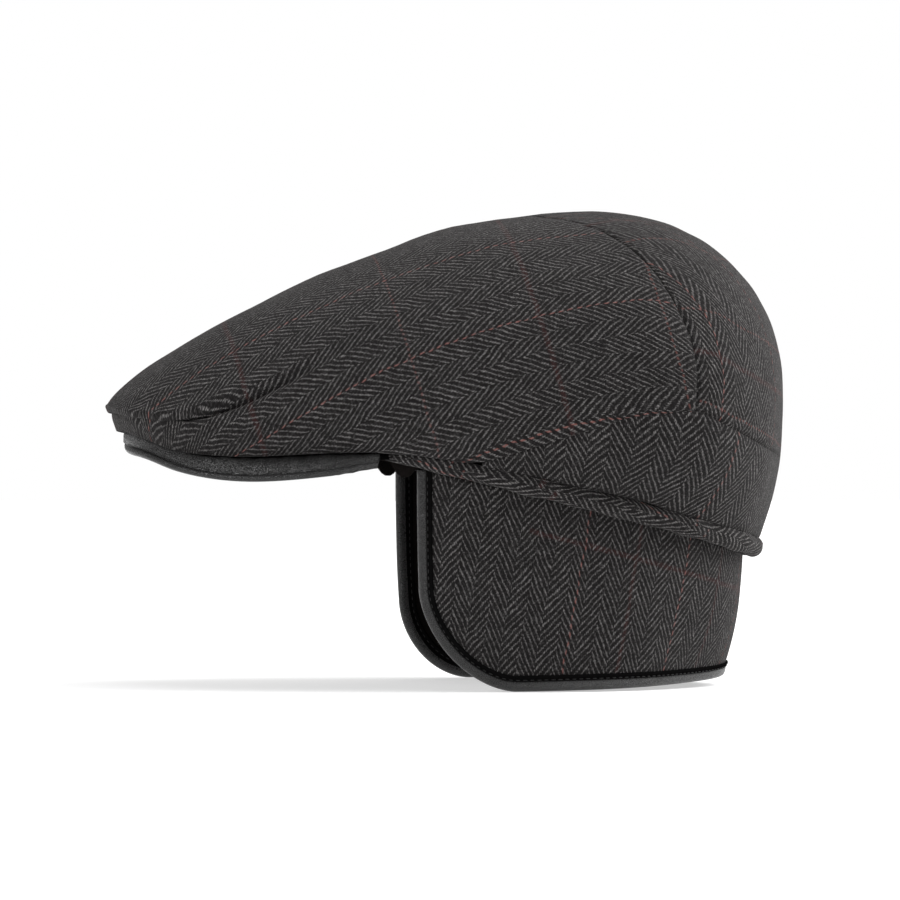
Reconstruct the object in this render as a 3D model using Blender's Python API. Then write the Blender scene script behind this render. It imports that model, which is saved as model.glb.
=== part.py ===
"""A flat cap with its ear flaps down, as a set of separate sewn pieces.

Metres, +Z up, the peak towards -Y and the wearer's left at +X. The origin is the middle of the
head opening. Crown panels share one surface, which is drawn on a flat disc: its middle is the
top of the crown, and its rim is the hem. A point of the disc is (aside, behind).
"""

import math

import bpy
import numpy as np

# Head opening, whose rim rises towards the front
HEAD_LENGTH = 0.198
HEAD_WIDTH = 0.168
RIM_SLOPE = 0.225
RIM_SAG = 0.0035

# Crown, measured from the line of the rim roll
CROWN_HEIGHT = 0.1198
TOP_BEHIND_ORIGIN = 0.033
FRONT_OVERHANG = 0.0730
SIDE_FULLNESS = 0.0150
BACK_FULLNESS = 0.0138
FOLD_DEPTH = 0.0016
FRONT_SWELL = 0.0015
HEM_REACH = 0.0690
HEM_RISE = 0.0052

# Cloth and leather
CLOTH_WALL = 0.0020
LINING_WALL = 0.0010
FLAP_WALL = 0.0018
SWEATBAND_WALL = 0.0012
BINDING_WALL = 0.0006
GAP = 0.0003

# Rim roll and sweatband
ROLL_DIAMETER = 0.0094
ROLL_END_SHARE = 0.62
ROLL_SWELL_ANGLE = math.radians(42)
SWEATBAND_RISE = 0.026
SWEATBAND_DROP = 0.0026
SWEATBAND_DIP = 0.0068

# Peak
PEAK_WALL = 0.0026
PEAK_DROP = 0.0080
PIPING_DIAMETER = 0.0030
PEAK_SEAT_WIDTH = 0.0032
SEAT_MARGIN = 0.0008
PEAK_END = 4.55

# Ear flap, measured from the rim line down to the outside of its binding
FLAP_FRONT = -0.0485
FLAP_BOTTOM = -0.0878
FLAP_BACK_RISE = 0.0041
FLAP_CORNER_LENGTH = 0.0450
FLAP_CORNER_HEIGHT = 0.0432
FLAP_CORNER_POWER = 1.75
FLAP_TUCK = 0.0032
FLAP_SEAT = 0.0043
FLAP_LEAN_DEPTH = 0.048
FLAP_SIDE_LEAN = 0.0018
FLAP_BACK_LEAN = 0.0068
FLAP_LEAN_POWER = 2.2
BINDING_DIAMETER = 0.0050
BINDING_LIP = 0.0023

# Share of the disc's radius at which the crown is widest
WIDEST = 0.72

# Rib at which the front fold ends
FOLD_END = 4.0

# One row for each rib of the crown, from the front centre round to the back centre.
# along and across: place of the widest point, as shares of the reach and of the half width
# height: height of that point, as a share of the crown's height
# shoulder and brow: powers of the curve from the top out to the widest point
# fall: power of the curve from the widest point in to the hem
# hem_out: place of the hem outward from the rim line, as a share of the hem's reach
# hem_up: height of the hem above the rim line, as a share of the hem's rise
# fold and fold_share: place of the front fold on the rib, and how deep it is there
# swell: share of the front's soft double curve
RIBS = (
    # along, across, height, shoulder, brow, fall, hem_out, hem_up, fold, fold_share, swell
    (1.000, 0.000, 0.290, 1.62, 0.78, 1.2, 1.000, -1.10, 0.770, 1.0, 1.0),
    (0.966, 0.320, 0.270, 1.64, 0.76, 1.3, 0.928, -1.40, 0.750, 1.0, 1.0),
    (0.875, 0.550, 0.234, 1.68, 0.72, 1.5, 0.725, -2.21, 0.700, 1.0, 0.9),
    (0.743, 0.700, 0.204, 1.76, 0.66, 1.8, 0.478, -1.81, 0.605, 0.9, 0.6),
    (0.575, 0.805, 0.194, 1.90, 0.58, 2.0, 0.246, -0.52, 0.500, 0.1, 0.3),
    (0.385, 0.885, 0.204, 2.00, 0.52, 2.2, 0.072, 0.69, 0.450, 0.0, 0.0),
    (0.170, 0.950, 0.234, 2.10, 0.49, 2.3, 0.043, 0.96, 0.400, 0.0, 0.0),
    (-0.030, 0.990, 0.265, 2.12, 0.48, 2.3, 0.043, 1.00, 0.400, 0.0, 0.0),
    (-0.330, 0.985, 0.285, 2.15, 0.47, 2.3, 0.043, 1.00, 0.400, 0.0, 0.0),
    (-0.640, 0.850, 0.293, 2.20, 0.45, 2.4, 0.043, 1.00, 0.400, 0.0, 0.0),
    (-0.880, 0.520, 0.297, 2.20, 0.44, 2.4, 0.043, 1.00, 0.400, 0.0, 0.0),
    (-1.000, 0.000, 0.297, 2.20, 0.44, 2.4, 0.043, 1.00, 0.400, 0.0, 0.0),
)

# Seam over the top, from the side corner to the centre line, on the disc
TOP_SEAM = (
    # aside, behind
    (0.508, 0.536),
    (0.445, 0.478),
    (0.400, 0.415),
    (0.360, 0.352),
    (0.320, 0.288),
    (0.280, 0.222),
    (0.240, 0.150),
    (0.195, 0.072),
    (0.143, 0.004),
    (0.077, -0.044),
    (0.000, -0.062),
)

# Top edge of the band, from where it leaves the hem round to the back centre
BAND_TOP = (
    # rib, radius
    (5.50, 1.000),
    (5.97, 0.885),
    (6.40, 0.815),
    (7.05, 0.752),
    (7.66, 0.742),
    (8.34, 0.741),
    (9.00, 0.785),
    (9.86, 0.821),
    (11.00, 0.840),
)
SEAM_CORNER_ROW = 5

# Ribs by which the hem and the band stop short of the band's front point
BAND_POINT = 0.1


# Row of the seam table at which the main panel's grid turns its corner
SEAM_TURN_ROW = 5

# Grid of the main panel on each side of the centre line
MAIN_ROWS = 11
HEM_COLUMNS = 15
SIDE_COLUMNS = 8

# Outer edge of the peak against the hem above it, as shares of the peak's drop
PEAK_EDGE = (
    # rib, out, down
    (0.0, -0.440, 0.275),
    (1.0, -0.200, 0.575),
    (2.0, 0.075, 0.812),
    (3.0, 0.325, 1.000),
    (4.0, 0.400, 0.900),
    (5.0, 0.125, 0.125),
)

# Colour and roughness of each finish
FINISHES = {
    "wool": ((0.030, 0.029, 0.029, 1.0), 0.95),
    "lining": ((0.014, 0.013, 0.013, 1.0), 0.90),
    "leather": ((0.018, 0.018, 0.019, 1.0), 0.42),
}


def clear_scene():
    """Empty the scene."""
    for item in list(bpy.data.objects):
        bpy.data.objects.remove(item)


def finish(name):
    """Return the material of a finish, made once."""
    found = bpy.data.materials.get(name)
    if found:
        return found
    colour, roughness = FINISHES[name]
    material = bpy.data.materials.new(name)
    material.use_nodes = True
    shader = material.node_tree.nodes["Principled BSDF"]
    shader.inputs["Base Color"].default_value = colour
    shader.inputs["Roughness"].default_value = roughness
    return material


def add_piece(name, points, faces, material, sharp_degrees=40):
    """Add one named, smooth-shaded piece."""
    mesh = bpy.data.meshes.new(name)
    mesh.from_pydata([tuple(map(float, point)) for point in points], [], faces)
    mesh.materials.append(finish(material))
    mesh.shade_smooth()
    mesh.set_sharp_from_angle(angle=math.radians(sharp_degrees))
    piece = bpy.data.objects.new(name, mesh)
    bpy.context.scene.collection.objects.link(piece)
    return piece


def curve_through(rows, position):
    """Read a table as a smooth curve; position counts its rows from zero."""
    table = np.asarray(rows, float)
    position = np.asarray(position, float)
    start = np.clip(np.floor(position).astype(int), 0, len(table) - 2)
    share = (position - start)[..., None]
    first = 2 * table[0] - table[1]
    last = 2 * table[-1] - table[-2]
    table = np.vstack([first, table, last])
    before, here, there, after = (table[start + step] for step in range(4))
    return 0.5 * (
        2 * here
        + (there - before) * share
        + (2 * before - 5 * here + 4 * there - after) * share**2
        + (3 * here - before - 3 * there + after) * share**3
    )


def rib_values(rib):
    """Columns of the rib table at a rib number, mirrored past both centre lines."""
    mirror = np.ones(len(RIBS[0]))
    mirror[1] = -1
    table = [np.multiply(RIBS[1], mirror), *RIBS, np.multiply(RIBS[-2], mirror)]
    return curve_through(table, np.asarray(rib, float) + 1)


LAST_RIB = len(RIBS) - 1
ROLL_RADIUS = ROLL_DIAMETER / 2
RIM_HALF_LENGTH = HEAD_LENGTH / 2 + SWEATBAND_WALL + GAP + ROLL_RADIUS
RIM_HALF_WIDTH = HEAD_WIDTH / 2 + SWEATBAND_WALL + GAP + ROLL_RADIUS


def rim_height(y):
    """Height of the rim line at a place along the head."""
    return -RIM_SLOPE * y - RIM_SAG * (y / RIM_HALF_LENGTH) ** 2


def rim_frame(angle):
    """Plan point of the rim line and its outward direction; angle 0 is the front."""
    side, along = np.sin(angle), -np.cos(angle)
    point = np.stack([RIM_HALF_WIDTH * side, RIM_HALF_LENGTH * along], -1)
    outward = np.stack([RIM_HALF_LENGTH * side, RIM_HALF_WIDTH * along], -1)
    return point, outward / np.linalg.norm(outward, axis=-1, keepdims=True)


def rim_point(angle, out, up):
    """Point beside the rim line."""
    point, outward = rim_frame(np.asarray(angle, float))
    height = rim_height(point[..., 1]) + up
    plan = point + outward * np.asarray(out)[..., None]
    return np.concatenate([plan, np.broadcast_to(height, plan.shape[:-1])[..., None]], -1)


def rim_toward(x, y, out):
    """Plan point beside the rim line, in the direction of (x, y)."""
    reach = 1 / np.hypot(x / RIM_HALF_WIDTH, y / RIM_HALF_LENGTH)
    size = np.hypot(x, y)
    return x * reach + out * x / size, y * reach + out * y / size


def crown_form(disc):
    """Point of the crown's outer form for points of the disc."""
    radius = np.hypot(disc[..., 0], disc[..., 1])
    rib = disc_rib(disc)
    along, across, height, shoulder, brow, fall, hem_out, hem_up, _, _, swell = np.moveaxis(
        rib_values(rib), -1, 0
    )
    front_reach = TOP_BEHIND_ORIGIN + RIM_HALF_LENGTH + FRONT_OVERHANG
    back_reach = RIM_HALF_LENGTH + BACK_FULLNESS - TOP_BEHIND_ORIGIN
    wide_x = across * (RIM_HALF_WIDTH + SIDE_FULLNESS)
    wide_y = TOP_BEHIND_ORIGIN - along * np.where(along > 0, front_reach, back_reach)
    wide_z = height * CROWN_HEIGHT
    share = np.sin(np.clip(radius / WIDEST, 0, 1) * np.pi / 2)
    x = wide_x * share
    y = TOP_BEHIND_ORIGIN + (wide_y - TOP_BEHIND_ORIGIN) * share
    z = wide_z + (CROWN_HEIGHT - wide_z) * (1 - share**shoulder) ** brow
    z += FRONT_SWELL * swell * np.sin(2 * np.pi * share)
    hem_x, hem_y = rim_toward(wide_x, wide_y, hem_out * HEM_REACH)
    hem_z = rim_height(hem_y) + hem_up * HEM_RISE
    drop = np.clip((radius - WIDEST) / (1 - WIDEST), 0, None)
    x = np.where(radius > WIDEST, wide_x + (hem_x - wide_x) * drop**fall, x)
    y = np.where(radius > WIDEST, wide_y + (hem_y - wide_y) * drop**fall, y)
    z = np.where(radius > WIDEST, wide_z + (hem_z - wide_z) * drop, z)
    return np.stack([np.where(disc[..., 0] < 0, -x, x), y, z], -1)


def crown_normal(disc, step=0.004):
    """Outward direction of the crown's form."""
    beside = crown_form(disc + (step, 0)) - crown_form(disc - (step, 0))
    further = crown_form(disc + (0, step)) - crown_form(disc - (0, step))
    normal = np.cross(beside, further)
    return normal / np.linalg.norm(normal, axis=-1, keepdims=True)


def fold_offset(disc):
    """Outward offset of the front fold: a soft lip with a groove under it."""
    radius = np.hypot(disc[..., 0], disc[..., 1])
    fold, depth = np.moveaxis(rib_values(disc_rib(disc))[..., 8:10], -1, 0)
    past = radius - fold
    lip = 0.45 * np.exp(-(((past + 0.030) / 0.030) ** 2))
    groove = np.exp(-(((past - 0.012) / 0.022) ** 2))
    return FOLD_DEPTH * np.clip(depth, 0, 1) * (lip - groove)


def crown_wall(disc):
    """Outer and inner points of the crown's wall."""
    normal = crown_normal(disc)
    outer = crown_form(disc) + normal * fold_offset(disc)[..., None]
    return outer, outer - normal * CLOTH_WALL


def polar(rib, radius):
    """Point of the disc at a rib number and a radius."""
    turn = np.asarray(rib, float) / LAST_RIB * np.pi
    return np.stack([radius * np.sin(turn), -radius * np.cos(turn)], -1)


def mirrored(right, wrap=False):
    """Join a run of columns with its mirror image, the centre column used once."""
    flipped = right * np.array([-1.0] + [1.0] * (right.shape[-1] - 1))
    if wrap:
        return np.concatenate([right, flipped[:, -2:0:-1]], axis=1)
    return np.concatenate([right, flipped[:, -2::-1]], axis=1)


def shift_edge(edge, side):
    """Move an edge line on the disc sideways by just over half the gap between pieces."""
    tangent = np.gradient(edge, axis=0)
    normal = np.stack([tangent[:, 1], -tangent[:, 0]], -1)
    normal /= np.linalg.norm(normal, axis=-1, keepdims=True)
    probe = 0.002
    stretch = np.linalg.norm(crown_form(edge + normal * probe) - crown_form(edge), axis=-1) / probe
    return edge + side * normal * (0.6 * GAP / stretch)[:, None]


def slab_faces(rows, columns, wrap):
    """Faces of a wall with an outer and an inner layer of points, outer first.

    Both layers are split into triangles the same way, so walls that lie on each other stay clear.
    Rows run from the top of the piece outward.
    """
    layer = rows * columns
    faces = []

    def at(row, column, inner):
        return inner * layer + row * columns + column % columns

    def strip(first, second):
        faces.append((at(*first, 0), at(*second, 0), at(*second, 1), at(*first, 1)))

    for column in range(columns if wrap else columns - 1):
        for row in range(rows - 1):
            near, below = at(row, column, 0), at(row + 1, column, 0)
            across, beside = at(row + 1, column + 1, 0), at(row, column + 1, 0)
            for face in ((near, below, across), (near, across, beside)):
                faces.append(face)
                faces.append(tuple(index + layer for index in reversed(face)))
        strip((rows - 1, column + 1), (rows - 1, column))
        strip((0, column), (0, column + 1))
    if not wrap:
        for row in range(rows - 1):
            strip((row + 1, 0), (row, 0))
            strip((row, columns - 1), (row + 1, columns - 1))
    return faces


def add_wall(name, outer, inner, material, wrap=False):
    """Add a wall from two layers of points, each of rows and columns."""
    rows, columns = outer.shape[:2]
    points = np.concatenate([outer.reshape(-1, 3), inner.reshape(-1, 3)])
    return add_piece(name, points, slab_faces(rows, columns, wrap), material)


def band_top_line(ribs):
    """Points of the disc along the band's top edge at rib numbers."""
    table = np.asarray(BAND_TOP)
    fine = curve_through(table, np.linspace(0, len(table) - 1, 241))
    return polar(ribs, np.interp(ribs, fine[:, 0], fine[:, 1]))


def top_seam_line():
    """Points of the disc along the seam over the top, from its corner to the centre line."""
    columns = HEM_COLUMNS + SIDE_COLUMNS
    lower = np.linspace(0, SEAM_TURN_ROW, MAIN_ROWS + 1)
    upper = np.linspace(SEAM_TURN_ROW, len(TOP_SEAM) - 1, columns)
    return curve_through(TOP_SEAM, np.concatenate([lower, upper[1:]]))


def side_ribs():
    """Rib numbers of the band's columns from its front point to the seam's corner."""
    return np.linspace(BAND_TOP[0][0] + BAND_POINT, BAND_TOP[SEAM_CORNER_ROW][0], SIDE_COLUMNS)


def back_ribs():
    """Rib numbers of the band's columns from the seam's corner to the back centre."""
    return np.linspace(BAND_TOP[SEAM_CORNER_ROW][0], LAST_RIB, len(top_seam_line()))


def smooth_step(value):
    """Ease from zero to one, held at the ends."""
    share = np.clip(value, 0, 1)
    return share * share * (3 - 2 * share)


def disc_rib(disc):
    """Rib number of points of the disc."""
    return np.arctan2(np.abs(disc[..., 0]), -disc[..., 1]) / np.pi * LAST_RIB


def main_levels(start, edge):
    """Share of the way along each column of the main panel for each row.

    Two close rows follow the front fold, and past its end the rows run evenly spaced.
    """
    way = np.linspace(0, 1, 401)
    line = start[:, None] + (edge - start)[:, None] * way[:, None]
    radius = np.hypot(line[..., 0], line[..., 1])
    fold = rib_values(disc_rib(line))[..., 8]
    crossed = way[(radius >= fold).argmax(1)]
    edge_rib = disc_rib(edge)
    last = np.nonzero(edge_rib < FOLD_END)[0][-1]
    crossed[last + 1 :] = crossed[last]
    rows = [crossed * share for share in (0, 0.13, 0.28, 0.45, 0.62, 0.79, 0.91)]
    rows += [crossed - 0.004, crossed + 0.022]
    rows += [rows[-1] + (1 - rows[-1]) * share for share in (0.16, 0.5, 1)]
    even = np.linspace(0, 1, MAIN_ROWS + 1)[:, None]
    return rows + (even - rows) * smooth_step((edge_rib - FOLD_END + 1) / 2.5)


def build_crown_main():
    """Top and sides of the crown, from the front over the top to the rear seam."""
    seam = shift_edge(top_seam_line(), -1)
    seam[-1, 0] = 0
    front_ribs = np.linspace(0, 2.1, 7)
    side_hem_ribs = np.linspace(2.5, BAND_TOP[0][0] - BAND_POINT, HEM_COLUMNS - len(front_ribs))
    hem_ribs = np.concatenate([front_ribs, side_hem_ribs])
    band = band_top_line(side_ribs())
    corner = band[-1].copy()
    band = shift_edge(band, -1)
    seam[0] += band[-1] - corner
    edge = np.concatenate([polar(hem_ribs, np.ones(HEM_COLUMNS)), band[:-1], seam[:1]])
    start, side = seam[: MAIN_ROWS - 1 : -1], seam[MAIN_ROWS::-1]
    levels = main_levels(start, edge)[..., None]
    grid = start + (edge - start) * levels
    bend = side - grid[:, -1]
    grid += bend[:, None] * smooth_step((disc_rib(edge) - 6) / 2.34)[:, None]
    grid[:, -1] = side
    left = grid[:, ::-1] * (-1, 1)
    outer, inner = crown_wall(mirrored(left))
    return add_wall("crown_main", outer, inner, "wool")


def build_crown_back():
    """Rear panel of the crown, between the seam over the top and the band."""
    seam = shift_edge(top_seam_line(), 1)
    seam[-1, 0] = 0
    band = shift_edge(band_top_line(back_ribs()), -1)
    for edge in (seam, band):
        edge[0] += (edge[1] - edge[0]) * 0.25
    shares = np.linspace(0, 1, 6)[:, None, None]
    outer, inner = crown_wall(mirrored(seam + (band - seam) * shares))
    return add_wall("crown_back", outer, inner, "wool")


def build_back_band():
    """Shaped band round the sides and the back, between the crown and the roll."""
    ribs = np.concatenate([side_ribs()[:-1], back_ribs()])
    top = shift_edge(band_top_line(ribs), 1)
    hem = polar(ribs, np.ones(len(ribs)))
    shares = np.linspace(0, 1, 5)[:, None, None]
    outer, inner = crown_wall(mirrored(top + (hem - top) * shares))
    return add_wall("back_band", outer, inner, "wool")


def sweep(name, path, across, upward, section, material):
    """Add a bar of a constant section along a path, closed at both ends.

    Section points are (across, upward), counter-clockwise as seen along the path.
    """
    shape = np.asarray(section, float)
    count = shape.shape[-2]
    if shape.ndim == 2:
        shape = np.broadcast_to(shape, (len(path), *shape.shape))
    points = path[:, None] + across[:, None] * shape[..., :1] + upward[:, None] * shape[..., 1:]
    faces = []
    for ring in range(len(path) - 1):
        for corner in range(count):
            turn = (corner + 1) % count
            base = ring * count
            faces.append((base + corner, base + turn, base + count + turn, base + count + corner))
    faces.append(tuple(reversed(range(count))))
    last = (len(path) - 1) * count
    faces.append(tuple(last + corner for corner in range(count)))
    return add_piece(name, points.reshape(-1, 3), faces, material)


def unit(vectors):
    """Vectors at length one."""
    return vectors / np.linalg.norm(vectors, axis=-1, keepdims=True)


def path_frame(path, outward):
    """Directions across a path: along the outward hint, and square to it and the path."""
    tangent = unit(np.gradient(path, axis=0))
    across = unit(outward - tangent * (outward * tangent).sum(-1, keepdims=True))
    return across, np.cross(tangent, across)


def ring_section(radius, sides):
    """Round section."""
    turns = np.arange(sides) * 2 * np.pi / sides
    return np.stack([radius * np.cos(turns), radius * np.sin(turns)], -1)


def flat_outward(angles):
    """Outward directions of the rim line as 3-D vectors."""
    outward = rim_frame(angles)[1]
    return np.concatenate([outward, np.zeros((len(angles), 1))], -1)


def peak_end_angle():
    """Rim angle at which the peak ends."""
    corner = crown_form(polar(PEAK_END, 1.0))
    return math.atan2(corner[0] / RIM_HALF_WIDTH, -corner[1] / RIM_HALF_LENGTH)


def build_rim_roll():
    """Padded roll round the rim, from the end of the peak round to its other end."""
    start = peak_end_angle() + (GAP * 3) / RIM_HALF_WIDTH
    angles = np.linspace(start, 2 * np.pi - start, 51)
    path = rim_point(angles, np.zeros(len(angles)), 0.0)
    from_end = np.minimum(angles - start, 2 * np.pi - start - angles) / ROLL_SWELL_ANGLE
    swell = np.clip(from_end, 0, 1) ** 0.6
    radius = ROLL_RADIUS * (ROLL_END_SHARE + (1 - ROLL_END_SHARE) * swell)
    lift = (ROLL_RADIUS - radius) * 0.9
    path[:, 2] += lift
    across, upward = path_frame(path, flat_outward(angles))
    section = ring_section(1.0, 10)[None] * radius[:, None, None]
    return sweep("rim_roll", path, across, upward, section, "wool")


def build_sweatband():
    """Band inside the head opening, with a dip on each side between the peak and the flap."""
    dip_start = peak_end_angle() - math.radians(8)
    dip_end = flap_angle(-2 * GAP)
    front = np.linspace(0, dip_start, 9)[:-1]
    dip = np.linspace(dip_start, dip_end, 7)
    angles = np.concatenate([front, dip, np.linspace(dip_end, np.pi, 16)[1:]])
    share = np.clip((angles - dip_start) / (dip_end - dip_start), 0, 1)
    bottom = -SWEATBAND_DROP - SWEATBAND_DIP * np.sin(np.pi * share) ** 0.7
    outer_out = -ROLL_RADIUS - GAP
    inner_out = outer_out - SWEATBAND_WALL
    heights = (np.full(len(angles), SWEATBAND_RISE), bottom)
    outer = np.stack([rim_point(angles, outer_out, height) for height in heights])
    inner = np.stack([rim_point(angles, inner_out, height) for height in heights])
    return add_wall("sweatband", mirrored(outer, True), mirrored(inner, True), "lining", wrap=True)


def peak_rails(ribs):
    """Top of the peak at its edge, under the hem, behind the hem, and at the head opening."""
    hem = crown_form(polar(ribs, np.ones(len(ribs))))
    table = np.asarray(PEAK_EDGE)
    out, down = PEAK_DROP * curve_through(table[:, 1:], np.abs(ribs)).T
    direction = hem[:, :2] / np.linalg.norm(hem[:, :2], axis=-1, keepdims=True)
    edge = hem.copy()
    edge[:, :2] += direction * out[:, None]
    edge[:, 2] -= down
    seat = hem - (0, 0, GAP * 1.6)
    seat[:, :2] += direction * np.minimum(0, out - SEAT_MARGIN)[:, None]
    behind = seat.copy()
    behind[:, :2] -= direction * PEAK_SEAT_WIDTH
    root = hem.copy()
    root[:, 0], root[:, 1] = rim_toward(hem[:, 0], hem[:, 1], -ROLL_RADIUS)
    root[:, 2] = rim_height(root[:, 1]) + PEAK_WALL / 2
    return edge, seat, behind, root


def build_peak():
    """Curved board covered in leather, from the head opening out to its edge."""
    right = np.concatenate([np.linspace(0, 2.4, 9), np.linspace(2.8, PEAK_END, 6)])
    ribs = np.concatenate([-right[:0:-1], right])
    edge, seat, behind, root = peak_rails(np.abs(ribs))
    mirror = np.where(ribs < 0, -1.0, 1.0)
    rows = [root]
    for share in (0.33, 0.67):
        row = root + (behind - root) * share
        row[:, 2] += 0.10 * share * (1 - share) * np.linalg.norm(behind - root, axis=-1)
        rows.append(row)
    rows += [behind, seat, edge]
    top = np.stack(rows)
    top[..., 0] *= mirror
    bottom = top - (0, 0, PEAK_WALL)
    return add_wall("peak", top, bottom, "leather")


def build_peak_piping():
    """Rolled leather edge of the peak."""
    right = np.concatenate([np.linspace(0, 1.2, 7), np.linspace(1.5, PEAK_END, 12)])
    ribs = np.concatenate([-right[:0:-1], right])
    edge, seat, _, _ = peak_rails(np.abs(ribs))
    edge[:, 0] *= np.where(ribs < 0, -1.0, 1.0)
    tangent = unit(np.gradient(edge, axis=0))
    outward = unit(np.cross(tangent, (0.0, 0.0, 1.0)))
    radius = PIPING_DIAMETER / 2
    path = edge + outward * (radius + GAP)
    path[:, 2] -= PEAK_WALL / 2
    across, upward = path_frame(path, outward)
    return sweep("peak_piping", path, across, upward, ring_section(radius, 8), "leather")


def rim_arc_table():
    """Rim angles from the flap's front edge to the back centre, and the arc length to each."""
    start = math.acos(-FLAP_FRONT / RIM_HALF_LENGTH)
    angles = np.linspace(start - 0.2, np.pi, 2001)
    points = rim_point(angles, np.zeros(len(angles)), 0.0)[:, :2]
    lengths = np.concatenate([[0], np.cumsum(np.linalg.norm(np.diff(points, axis=0), axis=-1))])
    return angles, lengths - np.interp(start, angles, lengths)


def flap_angle(distance):
    """Rim angle at a distance along the rim behind the flap's front edge."""
    angles, lengths = rim_arc_table()
    return np.interp(distance, lengths, angles)


def flap_surface(angle, z, out):
    """Point of the flap's outer face at a rim angle and a height, moved outward."""
    point, outward = rim_frame(angle)
    depth = np.clip(rim_height(point[..., 1]) - z, 0, None)
    behind = 0.5 - 0.5 * np.cos(np.pi * np.clip((point[..., 1] / RIM_HALF_LENGTH - 0.3) / 0.7, 0, 1))
    lean = FLAP_SIDE_LEAN + (FLAP_BACK_LEAN - FLAP_SIDE_LEAN) * behind
    offset = out - FLAP_SEAT - lean * (depth / FLAP_LEAN_DEPTH) ** FLAP_LEAN_POWER
    plan = point + outward * offset[..., None]
    return np.concatenate([plan, np.broadcast_to(z, offset.shape)[..., None]], -1)


def flap_normal(angle, z, out):
    """Outward direction of the flap's surface."""
    turn = flap_surface(angle + 0.01, z, out) - flap_surface(angle - 0.01, z, out)
    rise = flap_surface(angle, z + 0.001, out) - flap_surface(angle, z - 0.001, out)
    return unit(np.cross(turn, rise))


def flap_edge(inset, corner_steps, bottom_steps):
    """Distance and height along the flap's free edge, from the corner's top to the back centre."""
    centre = FLAP_BOTTOM + FLAP_CORNER_HEIGHT
    turn = np.linspace(0, np.pi / 2, corner_steps + 1)
    power = 2 / FLAP_CORNER_POWER
    distance = FLAP_CORNER_LENGTH - (FLAP_CORNER_LENGTH - inset) * np.cos(turn) ** power
    height = centre - (FLAP_CORNER_HEIGHT - inset) * np.sin(turn) ** power
    full = rim_arc_table()[1][-1]
    rest = np.linspace(FLAP_CORNER_LENGTH, full, bottom_steps + 1)[1:]
    distance = np.concatenate([distance, rest])
    height = np.concatenate([height, np.full(bottom_steps, FLAP_BOTTOM + inset)])
    share = np.clip((distance - FLAP_CORNER_LENGTH) / (full - FLAP_CORNER_LENGTH), 0, 1)
    return distance, height + FLAP_BACK_RISE * share**1.3


def flap_layer(name, outside, wall, material):
    """Add one cloth layer of the flap, whose outer side lies behind the flap's outer face."""
    inset = BINDING_DIAMETER / 2 + BINDING_WALL + 3 * GAP
    distance, bottom = flap_edge(inset, 9, 17)
    angle = flap_angle(distance)
    top = rim_height(rim_frame(angle)[0][:, 1]) - FLAP_TUCK
    shares = (0, 0.25, 0.5, 0.75, 1)
    heights = np.stack([top + (bottom - top) * share for share in shares])
    angles = np.broadcast_to(angle, heights.shape)
    outer = mirrored(flap_surface(angles, heights, -outside))
    inner = mirrored(flap_surface(angles, heights, -outside - wall))
    return add_wall(name, outer, inner, material)


def build_flap():
    """Outer cloth and lining of the flap round the ears and the nape."""
    flap_layer("ear_flap", 0.0, FLAP_WALL, "wool")
    flap_layer("flap_lining", FLAP_WALL + GAP, LINING_WALL, "lining")


def binding_section():
    """Section of the binding: a round edge and two lips that hold the flap's layers."""
    half = BINDING_DIAMETER / 2
    lip = half + BINDING_LIP
    slot = (FLAP_WALL + GAP + LINING_WALL) / 2 + GAP
    turns = np.linspace(-np.pi / 2, np.pi / 2, 5)
    round_edge = [(half * math.cos(turn), half * math.sin(turn)) for turn in turns]
    upper_lip = [(-lip, half), (-lip, slot), (-BINDING_WALL, slot)]
    lower_lip = [(-BINDING_WALL, -slot), (-lip, -slot), (-lip, -half)]
    return np.array(round_edge + upper_lip + lower_lip)


def build_flap_binding():
    """Rolled leather binding down the front edges and along the bottom of the flap."""
    half = BINDING_DIAMETER / 2
    distance, height = flap_edge(half, 10, 15)
    angle = flap_angle(distance)
    top = rim_height(rim_frame(angle[0])[0][1]) - FLAP_TUCK
    upper = np.linspace(top, height[0], 6)[:-1]
    angle = np.concatenate([np.full(len(upper), angle[0]), angle])
    height = np.concatenate([upper, height])
    middle = np.full(len(angle), -(FLAP_WALL + GAP + LINING_WALL) / 2)
    path = mirrored(flap_surface(angle, height, middle)[None])[0]
    outward = mirrored(flap_normal(angle, height, middle)[None])[0]
    tangent = unit(np.gradient(path, axis=0))
    away = unit(np.cross(tangent, outward))
    upward = np.cross(away, tangent)
    return sweep("flap_binding", path, away, upward, binding_section()[::-1], "leather")


def main():
    """Build every piece of the cap."""
    clear_scene()
    build_crown_main()
    build_crown_back()
    build_back_band()
    build_rim_roll()
    build_sweatband()
    build_peak()
    build_peak_piping()
    build_flap()
    build_flap_binding()


main()
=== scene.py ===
"""Looks of a flat cap with its ear flap folded down: cloth, leather, stitches, floor, light and camera.

Metres, +Z up, the peak towards -Y and the wearer's left at +X. The crown panels share one surface,
drawn on a flat disc whose middle is the top of the crown and whose rim is the hem.
"""

from __future__ import annotations

import logging
import math
from dataclasses import dataclass, field
from enum import Enum

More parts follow.
